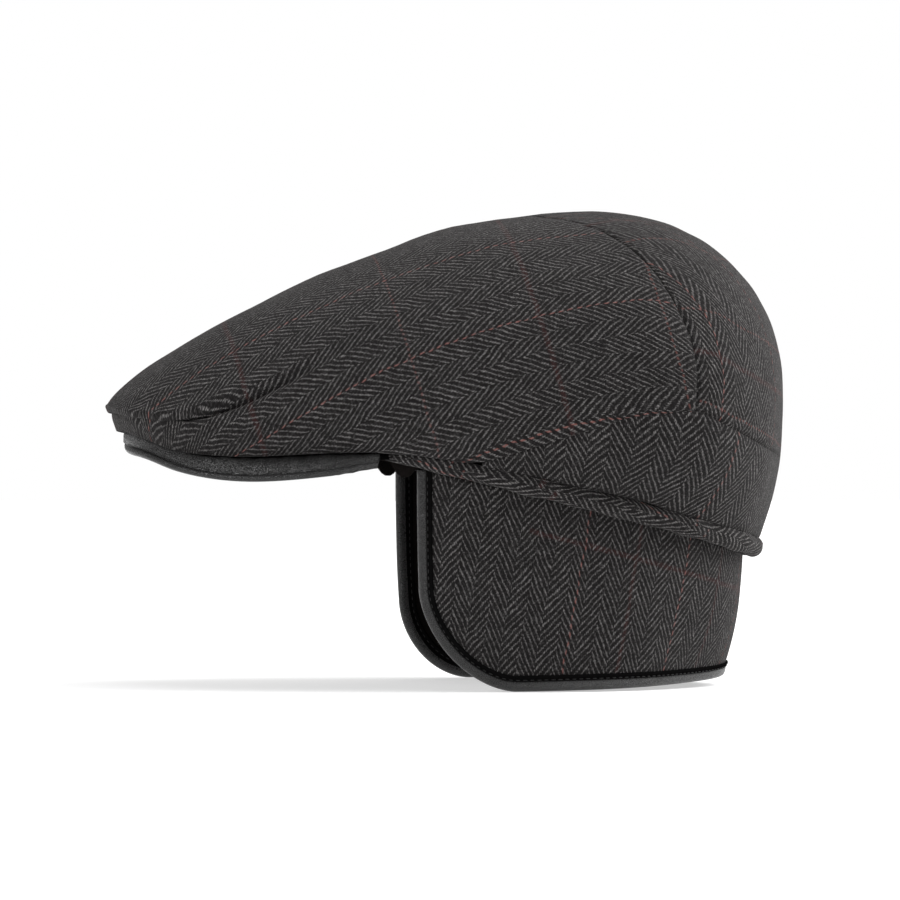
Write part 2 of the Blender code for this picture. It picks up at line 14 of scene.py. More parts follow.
import bpy
import numpy as np
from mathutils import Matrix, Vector


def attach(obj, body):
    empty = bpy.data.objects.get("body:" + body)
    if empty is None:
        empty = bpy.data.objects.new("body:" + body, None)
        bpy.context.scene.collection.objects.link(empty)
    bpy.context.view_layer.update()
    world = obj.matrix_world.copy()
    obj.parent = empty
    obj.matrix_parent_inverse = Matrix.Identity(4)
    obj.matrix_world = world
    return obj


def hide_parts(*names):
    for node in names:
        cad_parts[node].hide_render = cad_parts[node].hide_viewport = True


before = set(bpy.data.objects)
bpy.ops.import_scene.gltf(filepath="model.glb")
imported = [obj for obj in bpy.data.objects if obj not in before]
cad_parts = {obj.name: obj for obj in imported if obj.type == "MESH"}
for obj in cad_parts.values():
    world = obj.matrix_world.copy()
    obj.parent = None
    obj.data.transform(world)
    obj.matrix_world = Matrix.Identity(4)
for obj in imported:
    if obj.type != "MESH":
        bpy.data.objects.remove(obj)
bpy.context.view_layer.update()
LOG = logging.getLogger("flat_cap")
BODY = "root"
TURN = 2 * math.pi

# One row for each rib of the crown, from the front centre round to the back centre
RIBS = (
    # along, across, height, shoulder, brow, fall, hem_out, hem_up, fold, fold_share, swell
    (1.000, 0.000, 0.290, 1.62, 0.78, 1.2, 1.000, -1.10, 0.770, 1.0, 1.0),
    (0.966, 0.320, 0.270, 1.64, 0.76, 1.3, 0.928, -1.40, 0.750, 1.0, 1.0),
    (0.875, 0.550, 0.234, 1.68, 0.72, 1.5, 0.725, -2.21, 0.700, 1.0, 0.9),
    (0.743, 0.700, 0.204, 1.76, 0.66, 1.8, 0.478, -1.81, 0.605, 0.9, 0.6),
    (0.575, 0.805, 0.194, 1.90, 0.58, 2.0, 0.246, -0.52, 0.500, 0.1, 0.3),
    (0.385, 0.885, 0.204, 2.00, 0.52, 2.2, 0.072, 0.69, 0.450, 0.0, 0.0),
    (0.170, 0.950, 0.234, 2.10, 0.49, 2.3, 0.043, 0.96, 0.400, 0.0, 0.0),
    (-0.030, 0.990, 0.265, 2.12, 0.48, 2.3, 0.043, 1.00, 0.400, 0.0, 0.0),
    (-0.330, 0.985, 0.285, 2.15, 0.47, 2.3, 0.043, 1.00, 0.400, 0.0, 0.0),
    (-0.640, 0.850, 0.293, 2.20, 0.45, 2.4, 0.043, 1.00, 0.400, 0.0, 0.0),
    (-0.880, 0.520, 0.297, 2.20, 0.44, 2.4, 0.043, 1.00, 0.400, 0.0, 0.0),
    (-1.000, 0.000, 0.297, 2.20, 0.44, 2.4, 0.043, 1.00, 0.400, 0.0, 0.0),
)

# Seam over the top, from the side corner to the centre line, on the disc
TOP_SEAM = (
    # aside, behind
    (0.508, 0.536),
    (0.445, 0.478),
    (0.400, 0.415),
    (0.360, 0.352),
    (0.320, 0.288),
    (0.280, 0.222),
    (0.240, 0.150),
    (0.195, 0.072),
    (0.143, 0.004),
    (0.077, -0.044),
    (0.000, -0.062),
)
SEAM_TURN_ROW = 5

# Top edge of the band, from where it leaves the hem round to the back centre
BAND_TOP = (
    # rib, radius
    (5.50, 1.000),
    (5.97, 0.885),
    (6.40, 0.815),
    (7.05, 0.752),
    (7.66, 0.742),
    (8.34, 0.741),
    (9.00, 0.785),
    (9.86, 0.821),
    (11.00, 0.840),
)
SEAM_CORNER_ROW = 5
LAST_RIB = len(RIBS) - 1

# Outer edge of the peak against the hem above it, as shares of the peak's drop
PEAK_EDGE = (
    # rib, out, down
    (0.0, -0.440, 0.275),
    (1.0, -0.200, 0.575),
    (2.0, 0.075, 0.812),
    (3.0, 0.325, 1.000),
    (4.0, 0.400, 0.900),
    (5.0, 0.125, 0.125),
)


class Side(Enum):
    """Side of the cap, as the sign of X."""

    NEAR = 1.0
    FAR = -1.0


# ---------------------------------------------------------------- curves and grids


def curve_through(rows: object, position: np.ndarray) -> np.ndarray:
    """Read a table as a smooth curve.

    Args:
        rows: The table's rows.
        position: Places on the curve, where 1.0 is one row on.

    Returns:
        The columns' values at each place.
    """
    table = np.asarray(rows, float)
    position = np.asarray(position, float)
    start = np.clip(np.floor(position).astype(int), 0, len(table) - 2)
    share = (position - start)[..., None]
    table = np.vstack([2 * table[0] - table[1], table, 2 * table[-1] - table[-2]])
    before, here, there, after = (table[start + step] for step in range(4))
    return 0.5 * (
        2 * here
        + (there - before) * share
        + (2 * before - 5 * here + 4 * there - after) * share**2
        + (3 * here - before - 3 * there + after) * share**3
    )


def edge_share(away: np.ndarray, reach: float, least: float) -> np.ndarray:
    """Share of a wall's thickness at a distance from its edge, rounded over the reach."""
    return least + (1 - least) * np.sqrt(np.clip(away / reach, 0, 1))


def smooth_step(value: np.ndarray) -> np.ndarray:
    """Ease from zero to one, held at the ends."""
    share = np.clip(value, 0, 1)
    return share * share * (3 - 2 * share)


def unit(vectors: np.ndarray) -> np.ndarray:
    """Vectors at length one."""
    return vectors / np.linalg.norm(vectors, axis=-1, keepdims=True)


def bell(value: np.ndarray, middle: float, width: float) -> np.ndarray:
    """Smooth bump of height one round a middle."""
    return np.exp(-(((value - middle) / width) ** 2))


def line_distance(points: np.ndarray, line: np.ndarray) -> np.ndarray:
    """Distance of each point from a line of points.

    Args:
        points: Points in any grid.
        line: Points along the line, in order.

    Returns:
        The distances, in the points' grid.
    """
    flat = points.reshape(-1, 3)
    nearest = np.full(len(flat), np.inf)
    for start, end in zip(line[:-1], line[1:]):
        along = end - start
        share = np.clip((flat - start) @ along / (along @ along), 0, 1)
        nearest = np.minimum(nearest, np.linalg.norm(flat - start - share[:, None] * along, axis=1))
    return nearest.reshape(points.shape[:-1])


def grid_value(table: np.ndarray, row: np.ndarray, column: np.ndarray) -> np.ndarray:
    """Value of a table between its entries, at rows and columns that need not be whole."""
    row0 = np.clip(row.astype(int), 0, table.shape[0] - 2)
    column0 = np.clip(column.astype(int), 0, table.shape[1] - 2)
    down, right = row - row0, column - column0
    upper = table[row0, column0] * (1 - right) + table[row0, column0 + 1] * right
    lower = table[row0 + 1, column0] * (1 - right) + table[row0 + 1, column0 + 1] * right
    return upper * (1 - down) + lower * down


def run_length(points: np.ndarray) -> np.ndarray:
    """Length along the first axis of a grid of points, from its first point."""
    steps = np.linalg.norm(np.diff(points, axis=0), axis=-1)
    return np.concatenate([np.zeros((1, *steps.shape[1:])), np.cumsum(steps, axis=0)])


def mirrored(right: np.ndarray, signs: tuple[float, ...]) -> np.ndarray:
    """Join a grid whose last column is the centre line with its mirror image.

    Args:
        right: Grid of rows, columns and values.
        signs: Sign of each value in the mirror image.

    Returns:
        The whole grid, its centre column used once.
    """
    return np.concatenate([right, (right * np.array(signs))[:, -2::-1]], axis=1)


def ripples(points: np.ndarray, size: float, seed: int, waves: int = 9) -> np.ndarray:
    """Soft random waves through space, from about -1 to 1.

    Args:
        points: Points in any grid.
        size: Usual length of a wave in metres.
        seed: Number that fixes the waves.
        waves: How many waves are added up.

    Returns:
        One value for each point.
    """
    source = np.random.default_rng(seed)
    total = np.zeros(points.shape[:-1])
    for _ in range(waves):
        direction = unit(source.normal(size=3))
        length = size * source.uniform(0.7, 1.5)
        total += np.sin(points @ direction * (2 * math.pi / length) + source.uniform(0, 2 * math.pi))
    return total / math.sqrt(waves)


# ---------------------------------------------------------------- form of the cap


@dataclass(frozen=True)
class CapForm:
    """Sizes of the head opening and the crown, and the surfaces that follow from them."""

    head_length: float = 0.198
    head_width: float = 0.168
    rim_slope: float = 0.225
    rim_sag: float = 0.0035
    crown_height: float = 0.1198
    top_behind_origin: float = 0.033
    front_overhang: float = 0.0730
    side_fullness: float = 0.0150
    back_fullness: float = 0.0138
    front_swell: float = 0.0015
    hem_reach: float = 0.0690
    hem_rise: float = 0.0052
    widest: float = 0.72
    roll_diameter: float = 0.0094
    sweatband_wall: float = 0.0012
    gap: float = 0.0003

    @property
    def roll_radius(self) -> float:
        """Radius of the padded rim roll."""
        return self.roll_diameter / 2

    @property
    def rim_half_length(self) -> float:
        """Half length of the rim line."""
        return self.head_length / 2 + self.sweatband_wall + self.gap + self.roll_radius

    @property
    def rim_half_width(self) -> float:
        """Half width of the rim line."""
        return self.head_width / 2 + self.sweatband_wall + self.gap + self.roll_radius

    def rim_height(self, y: np.ndarray) -> np.ndarray:
        """Height of the rim line at a place along the head."""
        return -self.rim_slope * y - self.rim_sag * (y / self.rim_half_length) ** 2

    def rim_frame(self, angle: np.ndarray) -> tuple[np.ndarray, np.ndarray]:
        """Plan point of the rim line and its outward direction; angle 0 is the front."""
        side, along = np.sin(angle), -np.cos(angle)
        point = np.stack([self.rim_half_width * side, self.rim_half_length * along], -1)
        outward = np.stack([self.rim_half_length * side, self.rim_half_width * along], -1)
        return point, unit(outward)

    def rim_point(self, angle: np.ndarray, out: np.ndarray, up: np.ndarray) -> np.ndarray:
        """Point beside the rim line."""
        point, outward = self.rim_frame(np.asarray(angle, float))
        height = self.rim_height(point[..., 1]) + up
        plan = point + outward * np.asarray(out)[..., None]
        return np.concatenate([plan, np.broadcast_to(height, plan.shape[:-1])[..., None]], -1)

    def rim_toward(self, x: np.ndarray, y: np.ndarray, out: np.ndarray) -> tuple[np.ndarray, np.ndarray]:
        """Plan point beside the rim line, in the direction of (x, y)."""
        reach = 1 / np.hypot(x / self.rim_half_width, y / self.rim_half_length)
        size = np.hypot(x, y)
        return x * reach + out * x / size, y * reach + out * y / size

    @staticmethod
    def rib_values(rib: np.ndarray) -> np.ndarray:
        """Columns of the rib table at a rib number, mirrored past both centre lines."""
        mirror = np.ones(len(RIBS[0]))
        mirror[1] = -1
        table = [np.multiply(RIBS[1], mirror), *RIBS, np.multiply(RIBS[-2], mirror)]
        return curve_through(table, np.asarray(rib, float) + 1)

    @staticmethod
    def disc_rib(disc: np.ndarray) -> np.ndarray:
        """Rib number of points of the disc."""
        return np.arctan2(np.abs(disc[..., 0]), -disc[..., 1]) / np.pi * LAST_RIB

    @staticmethod
    def polar(rib: np.ndarray, radius: np.ndarray) -> np.ndarray:
        """Point of the disc at a rib number and a radius."""
        turn = np.asarray(rib, float) / LAST_RIB * np.pi
        return np.stack([radius * np.sin(turn), -radius * np.cos(turn)], -1)

    def crown_point(self, disc: np.ndarray) -> np.ndarray:
        """Find the crown's outer form.

        Args:
            disc: Points of the disc.

        Returns:
            The point of the form for each point of the disc.
        """
        radius = np.hypot(disc[..., 0], disc[..., 1])
        columns = np.moveaxis(self.rib_values(self.disc_rib(disc)), -1, 0)
        along, across, height, shoulder, brow, fall, hem_out, hem_up, _, _, swell = columns
        front_reach = self.top_behind_origin + self.rim_half_length + self.front_overhang
        back_reach = self.rim_half_length + self.back_fullness - self.top_behind_origin
        wide_x = across * (self.rim_half_width + self.side_fullness)
        wide_y = self.top_behind_origin - along * np.where(along > 0, front_reach, back_reach)
        wide_z = height * self.crown_height
        share = np.sin(np.clip(radius / self.widest, 0, 1) * np.pi / 2)
        x = wide_x * share
        y = self.top_behind_origin + (wide_y - self.top_behind_origin) * share
        z = wide_z + (self.crown_height - wide_z) * (1 - share**shoulder) ** brow
        z += self.front_swell * swell * np.sin(2 * np.pi * share)
        hem_x, hem_y = self.rim_toward(wide_x, wide_y, hem_out * self.hem_reach)
        hem_z = self.rim_height(hem_y) + hem_up * self.hem_rise
        drop = np.clip((radius - self.widest) / (1 - self.widest), 0, None)
        below = radius > self.widest
        x = np.where(below, wide_x + (hem_x - wide_x) * drop**fall, x)
        y = np.where(below, wide_y + (hem_y - wide_y) * drop**fall, y)
        z = np.where(below, wide_z + (hem_z - wide_z) * drop, z)
        return np.stack([np.where(disc[..., 0] < 0, -x, x), y, z], -1)

    def crown_normal(self, disc: np.ndarray, step: float = 0.004) -> np.ndarray:
        """Outward direction of the crown's form."""
        beside = self.crown_point(disc + (step, 0)) - self.crown_point(disc - (step, 0))
        further = self.crown_point(disc + (0, step)) - self.crown_point(disc - (0, step))
        return unit(np.cross(beside, further))

    def band_top_line(self, ribs: np.ndarray) -> np.ndarray:
        """Points of the disc along the band's top edge at rib numbers."""
        fine = curve_through(BAND_TOP, np.linspace(0, len(BAND_TOP) - 1, 401))
        return self.polar(ribs, np.interp(ribs, fine[:, 0], fine[:, 1]))

    def peak_end_angle(self) -> float:
        """Rim angle at which the peak ends."""
        corner = self.crown_point(self.polar(np.array(4.55), np.array(1.0)))
        return math.atan2(corner[0] / self.rim_half_width, -corner[1] / self.rim_half_length)


# ---------------------------------------------------------------- meshes


def make_object(name: str, mesh: bpy.types.Mesh) -> bpy.types.Object:
    """Put a mesh in the scene under a name."""
    mesh.shade_smooth()
    piece = bpy.data.objects.new(name, mesh)
    bpy.context.scene.collection.objects.link(piece)
    return piece


def shell_faces(rows: int, columns: int, wrap: bool) -> list[tuple[int, ...]]:
    """Faces of a closed wall with an outer and an inner layer of points, outer first.

    Args:
        rows: Rows of a layer, from the top of the piece outward.
        columns: Columns of a layer, counter-clockwise as seen from above.
        wrap: Whether the last column joins the first.

    Returns:
        The faces, as point numbers.
    """
    numbers = np.arange(rows * columns).reshape(rows, columns)
    if wrap:
        numbers = np.concatenate([numbers, numbers[:, :1]], axis=1)
    inner = numbers + rows * columns
    faces = np.stack([numbers[:-1, :-1], numbers[1:, :-1], numbers[1:, 1:], numbers[:-1, 1:]], -1)
    outer_faces = faces.reshape(-1, 4)
    inner_faces = outer_faces[:, ::-1] + rows * columns
    strips = [
        (numbers[-1, 1:], numbers[-1, :-1], inner[-1, :-1], inner[-1, 1:]),
        (numbers[0, :-1], numbers[0, 1:], inner[0, 1:], inner[0, :-1]),
    ]
    if not wrap:
        strips.append((numbers[1:, 0], numbers[:-1, 0], inner[:-1, 0], inner[1:, 0]))
        strips.append((numbers[:-1, -1], numbers[1:, -1], inner[1:, -1], inner[:-1, -1]))
    edge_faces = np.concatenate([np.stack(strip, -1) for strip in strips])
    return [tuple(map(int, face)) for face in np.concatenate([outer_faces, inner_faces, edge_faces])]


def set_uv(mesh: bpy.types.Mesh, values: np.ndarray) -> None:
    """Store a weave position for each point of a mesh as its UV map."""
    layer = mesh.uv_layers.new(name="weave")
    corners = np.empty(len(mesh.loops), dtype=np.int32)
    mesh.loops.foreach_get("vertex_index", corners)
    layer.uv.foreach_set("vector", values[corners].astype(np.float32).ravel())


def add_shell(
    name: str, outer: np.ndarray, inner: np.ndarray, weave: np.ndarray, wrap: bool = False
) -> bpy.types.Object:
    """Add a closed wall of cloth or leather.

    Args:
        name: Name of the piece.
        outer: Grid of points of the outer face.
        inner: Grid of points of the inner face.
        weave: Place of each point on the flat cloth in metres.
        wrap: Whether the last column joins the first.

    Returns:
        The new piece.
    """
    rows, columns = outer.shape[:2]
    points = np.concatenate([outer.reshape(-1, 3), inner.reshape(-1, 3)])
    mesh = bpy.data.meshes.new(name)
    mesh.from_pydata(points.tolist(), [], shell_faces(rows, columns, wrap))
    flat = weave.reshape(-1, 2)
    set_uv(mesh, np.concatenate([flat, flat]))
    return make_object(name, mesh)


def path_frame(path: np.ndarray, outward: np.ndarray) -> tuple[np.ndarray, np.ndarray]:
    """Directions across a path: along the outward hint, and square to it and the path."""
    tangent = unit(np.gradient(path, axis=0))
    across = unit(outward - tangent * (outward * tangent).sum(-1, keepdims=True))
    return across, np.cross(tangent, across)


def add_bar(
    name: str, path: np.ndarray, across: np.ndarray, upward: np.ndarray, section: np.ndarray
) -> bpy.types.Object:
    """Add a bar along a path, closed at both ends.

    Args:
        name: Name of the piece.
        path: Points along the bar.
        across: First direction of the section at each point.
        upward: Second direction of the section at each point.
        section: Section points (across, upward), one ring for all or one for each point.

    Returns:
        The new piece, whose UV map holds the lengths along it and round it.
    """
    rings = np.broadcast_to(section, (len(path), *section.shape[-2:]))
    count = rings.shape[1]
    points = path[:, None] + across[:, None] * rings[..., :1] + upward[:, None] * rings[..., 1:]
    closed = np.concatenate([points, points[:, :1]], axis=1)
    along = np.broadcast_to(run_length(path)[:, None], closed.shape[:2])
    round_it = run_length(np.moveaxis(closed, 1, 0)).T
    numbers = np.arange(len(path) * count).reshape(len(path), count)
    turned = np.roll(numbers, -1, axis=1)
    sides = np.stack([numbers[:-1], turned[:-1], turned[1:], numbers[1:]], -1).reshape(-1, 4)
    faces = [tuple(map(int, face)) for face in sides]
    faces.append(tuple(int(number) for number in numbers[0][::-1]))
    faces.append(tuple(int(number) for number in numbers[-1]))
    mesh = bpy.data.meshes.new(name)
    mesh.from_pydata(points.reshape(-1, 3).tolist(), [], faces)
    layer = mesh.uv_layers.new(name="weave")
    corner = np.stack([along, round_it], -1)
    quads = np.stack([corner[:-1, :-1], corner[:-1, 1:], corner[1:, 1:], corner[1:, :-1]], 2).reshape(-1, 2)
    caps = np.concatenate([corner[0, :-1][::-1], corner[-1, :-1]])
    layer.uv.foreach_set("vector", np.concatenate([quads, caps]).astype(np.float32).ravel())
    return make_object(name, mesh)


def ring(radius: float, sides: int) -> np.ndarray:
    """Round section, counter-clockwise."""
    turns = np.arange(sides) * 2 * np.pi / sides
    return np.stack([radius * np.cos(turns), radius * np.sin(turns)], -1)


def dress(piece: bpy.types.Object, material: bpy.types.Material, slot: str, *nodes: str) -> None:
    """Give a piece its finish and its place on the cap.

    Args:
        piece: The piece.
        material: Its finish.
        slot: The record's material slot; not used.
        nodes: Solids that the piece stands for.
    """
    piece.data.materials.clear()
    piece.data.materials.append(material)
    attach(piece, BODY)
    if nodes:
        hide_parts(*nodes)
    LOG.info("%s: %d faces", piece.name, len(piece.data.polygons))


# ---------------------------------------------------------------- node trees


@dataclass
class Nodes:
    """Short way to add nodes to a tree and join them."""

    tree: bpy.types.NodeTree

    def add(self, kind: str, inputs: dict | None = None, **settings: object) -> bpy.types.Node:
        """Add a node.

        Args:
            kind: The node's type.
            inputs: Value or source socket for each input, by name or number.
            settings: Values of the node's own settings.

        Returns:
            The node.
        """
        node = self.tree.nodes.new(kind)
        for name, value in settings.items():
            setattr(node, name, value)
        for name, value in (inputs or {}).items():
            if isinstance(value, bpy.types.NodeSocket):
                self.tree.links.new(value, node.inputs[name])
            else:
                node.inputs[name].default_value = value
        return node

    def math(self, operation: str, *values: object, clamp: bool = False) -> bpy.types.NodeSocket:
        """Add a sum of numbers and return its result."""
        node = self.add("ShaderNodeMath", dict(enumerate(values)), operation=operation, use_clamp=clamp)
        return node.outputs[0]

    def vector(self, operation: str, inputs: dict) -> bpy.types.NodeSocket:
        """Add a sum of vectors and return its result."""
        return self.add("ShaderNodeVectorMath", inputs, operation=operation).outputs[0]

    def span(
        self, value: object, low: float, high: float, to_low: float = 0.0, to_high: float = 1.0
    ) -> bpy.types.NodeSocket:
        """Stretch a value from one range to another, held at its ends."""
        inputs = {0: value, 1: low, 2: high, 3: to_low, 4: to_high}
        return self.add("ShaderNodeMapRange", inputs, clamp=True).outputs[0]

    def blend(self, share: object, first: object, second: object) -> bpy.types.NodeSocket:
        """Mix two colours, whose sockets follow those for numbers and vectors."""
        node = self.add("ShaderNodeMix", data_type="RGBA", clamp_factor=True)
        for socket, value in ((0, share), (6, first), (7, second)):
            if isinstance(value, bpy.types.NodeSocket):
                self.tree.links.new(value, node.inputs[socket])
            else:
                node.inputs[socket].default_value = value
        return node.outputs[2]

    def noise(
        self, vector: object, scale: object, detail: float = 2.0, rough: float = 0.5, colour: bool = False
    ) -> bpy.types.NodeSocket:
        """Add a noise and return its value, or its colour."""
        inputs = {"Vector": vector, "Scale": scale, "Detail": detail, "Roughness": rough}
        return self.add("ShaderNodeTexNoise", inputs).outputs["Color" if colour else 0]

    def push(self, place: object, source: object, reach: float) -> bpy.types.NodeSocket:
        """Move a place by a noise colour, up to half the reach each way."""
        centred = self.vector("SUBTRACT", {0: source, 1: (0.5, 0.5, 0.5)})
        scaled = self.vector("SCALE", {0: centred, "Scale": reach})
        return self.vector("ADD", {0: place, 1: scaled})

    def stripe(self, value: object, start: object, pitch: object, half: float) -> bpy.types.NodeSocket:
        """Mask of thin lines at a start and every pitch beyond it."""
        count = self.math("DIVIDE", self.math("SUBTRACT", value, start), pitch)
        away = self.math("ABSOLUTE", self.math("SUBTRACT", count, self.math("ROUND", count)))
        return self.span(self.math("MULTIPLY", away, pitch), half, half * 0.35)


def new_group(
    name: str, inputs: dict[str, float | None], outputs: tuple[str, ...]
) -> tuple[Nodes, dict[str, bpy.types.NodeSocket]]:
    """Start a shader node group.

    Args:
        name: Name of the group.
        inputs: Starting value of each number input, or None for a vector.
        outputs: Names of the number outputs.

    Returns:
        The group's nodes, and its input sockets by name.
    """
    tree = bpy.data.node_groups.new(name, "ShaderNodeTree")
    for label, value in inputs.items():
        kind = "NodeSocketVector" if value is None else "NodeSocketFloat"
        socket = tree.interface.new_socket(label, in_out="INPUT", socket_type=kind)
        if value is not None:
            socket.default_value = value
    for label in outputs:
        tree.interface.new_socket(label, in_out="OUTPUT", socket_type="NodeSocketFloat")
    made = Nodes(tree)
    source = made.add("NodeGroupInput").outputs
    return made, {label: source[label] for label in inputs}


def herringbone_group() -> bpy.types.NodeTree:
    """Herringbone weave with thin check lines, drawn on the flat cloth.

    Across is counted over the lengthwise threads and along is counted down them. A line is drawn
    only within the reach of the middle, and a faint red one only past its beginning.

    Returns:
        A group whose outputs are masks of the light yarn, the red, faint red and maroon lines and
        stray light fibres, and the height.
    """
    inputs = {
        "Cloth": None,
        "Column Width": 0.0081,
        "Twill Step": 0.00385,
        "Twill Slope": 1.5,
        "Thread": 0.00064,
        "Red Across": 0.0503,
        "Red Along": 0.1095,
        "Maroon Across": 0.0503,
        "Maroon Along": 0.1285,
        "Red Across Start": 0.0,
        "Red Along Start": 0.0,
        "Maroon Across Start": 0.0,
        "Maroon Along Start": 0.0,
        "Reach": 1.0,
        "Begin": -1.0,
    }
    outputs = ("Yarn", "Red", "Faint Red", "Maroon", "Fibre", "Height")
    made, given = new_group("herringbone", inputs, outputs)
    cloth = given["Cloth"]
    wobble = made.noise(cloth, 95.0, colour=True)
    drift = made.noise(cloth, 700.0, 1.0, colour=True)
    place = made.push(made.push(cloth, wobble, 0.0022), drift, 0.0007)
    axes = made.add("ShaderNodeSeparateXYZ", {0: place}).outputs
    across, along = axes[0], axes[1]
    column = made.math("DIVIDE", across, given["Column Width"])
    climb = made.math("MULTIPLY", made.math("PINGPONG", column, 1.0), given["Column Width"])
    climb = made.math("MULTIPLY", climb, given["Twill Slope"])
    stagger = made.math("MULTIPLY", made.math("FLOORED_MODULO", made.math("FLOOR", column), 2.0), 0.5)
    steps = made.math("DIVIDE", made.math("ADD", along, climb), given["Twill Step"])
    phase = made.math("ADD", steps, stagger)
    line = made.math("SINE", made.math("MULTIPLY", phase, TURN))
    thread = made.math("ADD", made.math("DIVIDE", across, given["Thread"]), made.math("MULTIPLY", phase, 0.5))
    bead = made.math("SINE", made.math("MULTIPLY", thread, TURN))
    fuzz = made.noise(place, 1700.0, 2.0, 0.7)
    speck = made.noise(place, 1050.0, 1.0, 0.6)
    patch = made.noise(cloth, 230.0, 3.0, 0.6)
    level = made.math("ADD", line, made.math("MULTIPLY", bead, 0.20))
    for value, weight in ((fuzz, 1.5), (patch, 1.3)):
        level = made.math("ADD", level, made.math("MULTIPLY", made.math("SUBTRACT", value, 0.5), weight))
    yarn = made.math("MULTIPLY", made.span(level, 0.30, 1.20), made.span(bead, -1.0, 1.0, 0.45, 1.0))
    yarn = made.math("MULTIPLY", yarn, made.span(speck, 0.34, 0.66, 0.22, 1.20))
    fibre = made.math("MULTIPLY", made.span(speck, 0.48, 0.74), made.span(patch, 0.35, 0.7, 0.4, 1.0))
    dash = made.span(line, -0.35, 0.5)
    cross_dash = made.span(made.math("SINE", made.math("MULTIPLY", column, 3 * TURN)), -0.3, 0.6)
    near = made.math("LESS_THAN", made.math("ABSOLUTE", across), given["Reach"])
    red = made.stripe(across, given["Red Across Start"], given["Red Across"], 0.00042)
    red = made.math("MULTIPLY", made.math("MULTIPLY", red, dash), near)
    faint = made.stripe(along, given["Red Along Start"], given["Red Along"], 0.0006)
    faint = made.math("MULTIPLY", made.math("MULTIPLY", faint, cross_dash), near)
    faint = made.math("MULTIPLY", faint, made.math("GREATER_THAN", along, given["Begin"]))
    maroon = made.math(
        "MAXIMUM",
        made.stripe(across, given["Maroon Across Start"], given["Maroon Across"], 0.0011),
        made.stripe(along, given["Maroon Along Start"], given["Maroon Along"], 0.0015),
    )
    maroon = made.math("MULTIPLY", made.math("MULTIPLY", maroon, made.span(fuzz, 0.35, 0.62)), near)
    height = made.math("ADD", made.math("MULTIPLY", yarn, 0.8), made.math("MULTIPLY", fuzz, 0.5))
    made.add("NodeGroupOutput", dict(zip(outputs, (yarn, red, faint, maroon, fibre, height))))
    return made.tree


def leather_group() -> bpy.types.NodeTree:
    """Fine leather grain: small cells with creases between them, and soft wrinkles.

    Returns:
        A group whose outputs are the height and a mask of wear.
    """
    inputs = {"Place": None, "Cell Scale": 1500.0, "Crease Scale": 260.0}
    made, given = new_group("leather_grain", inputs, ("Height", "Wear"))
    place = given["Place"]
    bent = made.noise(place, 400.0, colour=True)
    moved = made.vector("ADD", {0: place, 1: made.vector("SCALE", {0: bent, "Scale": 0.0016})})
    cells = made.add(
        "ShaderNodeTexVoronoi", {"Vector": moved, "Scale": given["Cell Scale"]}, feature="DISTANCE_TO_EDGE"
    ).outputs["Distance"]
    stretch = {"Vector": moved, "Rotation": (0.3, 0.2, 0.9), "Scale": (1, 0.35, 1)}
    stretched = made.add("ShaderNodeMapping", stretch).outputs[0]
    creases = made.noise(stretched, given["Crease Scale"], 4.0)
    ridge = made.math("ABSOLUTE", made.math("SUBTRACT", creases, 0.5))
    height = made.math("ADD", made.span(cells, 0.0, 0.16), made.math("MULTIPLY", ridge, -3.0))
    wear = made.math("MULTIPLY", made.noise(place, 55.0, 4.0, 0.6), made.span(cells, 0.02, 0.2))
    made.add("NodeGroupOutput", {"Height": height, "Wear": wear})
    return made.tree


# ---------------------------------------------------------------- finishes


def start_material(name: str) -> tuple[Nodes, bpy.types.Material, bpy.types.Node]:
    """Start a material and return its nodes, itself and its surface shader."""
    material = bpy.data.materials.new(name)
    material.use_nodes = True
    made = Nodes(material.node_tree)
    return made, material, material.node_tree.nodes["Principled BSDF"]


def join(made: Nodes, source: object, shader: bpy.types.Node, name: str) -> None:
    """Link a result to a socket of the surface shader."""
    made.tree.links.new(source, shader.inputs[name])


# Start and pitch of a family of check lines that all lie beside the panel
NO_LINES = (0.5, 2.0)


@dataclass(frozen=True)
class Check:
    """Where the check lines lie on a panel: start and pitch of each family, in metres."""

    red_across: tuple[float, float] = (0.0043, 0.0503)
    red_along: tuple[float, float] = (0.0365, 0.1095)
    maroon_across: tuple[float, float] = NO_LINES
    maroon_along: tuple[float, float] = (0.0745, 0.1285)
    reach: float = 1.0
    begin: float = -1.0


# Check lines of the panels whose cloth is cut another way
BACK_CHECK = Check((0.0, 0.0525), (0.0048, 0.0410), maroon_along=(0.026, 0.082))
BAND_CHECK = Check((-0.0790, 0.1580), NO_LINES, maroon_along=NO_LINES, reach=0.1)
FLAP_CHECK = Check((-0.1250, 0.0525), NO_LINES, (-0.1000, 0.0525), (-0.0160, 0.2), reach=0.15)


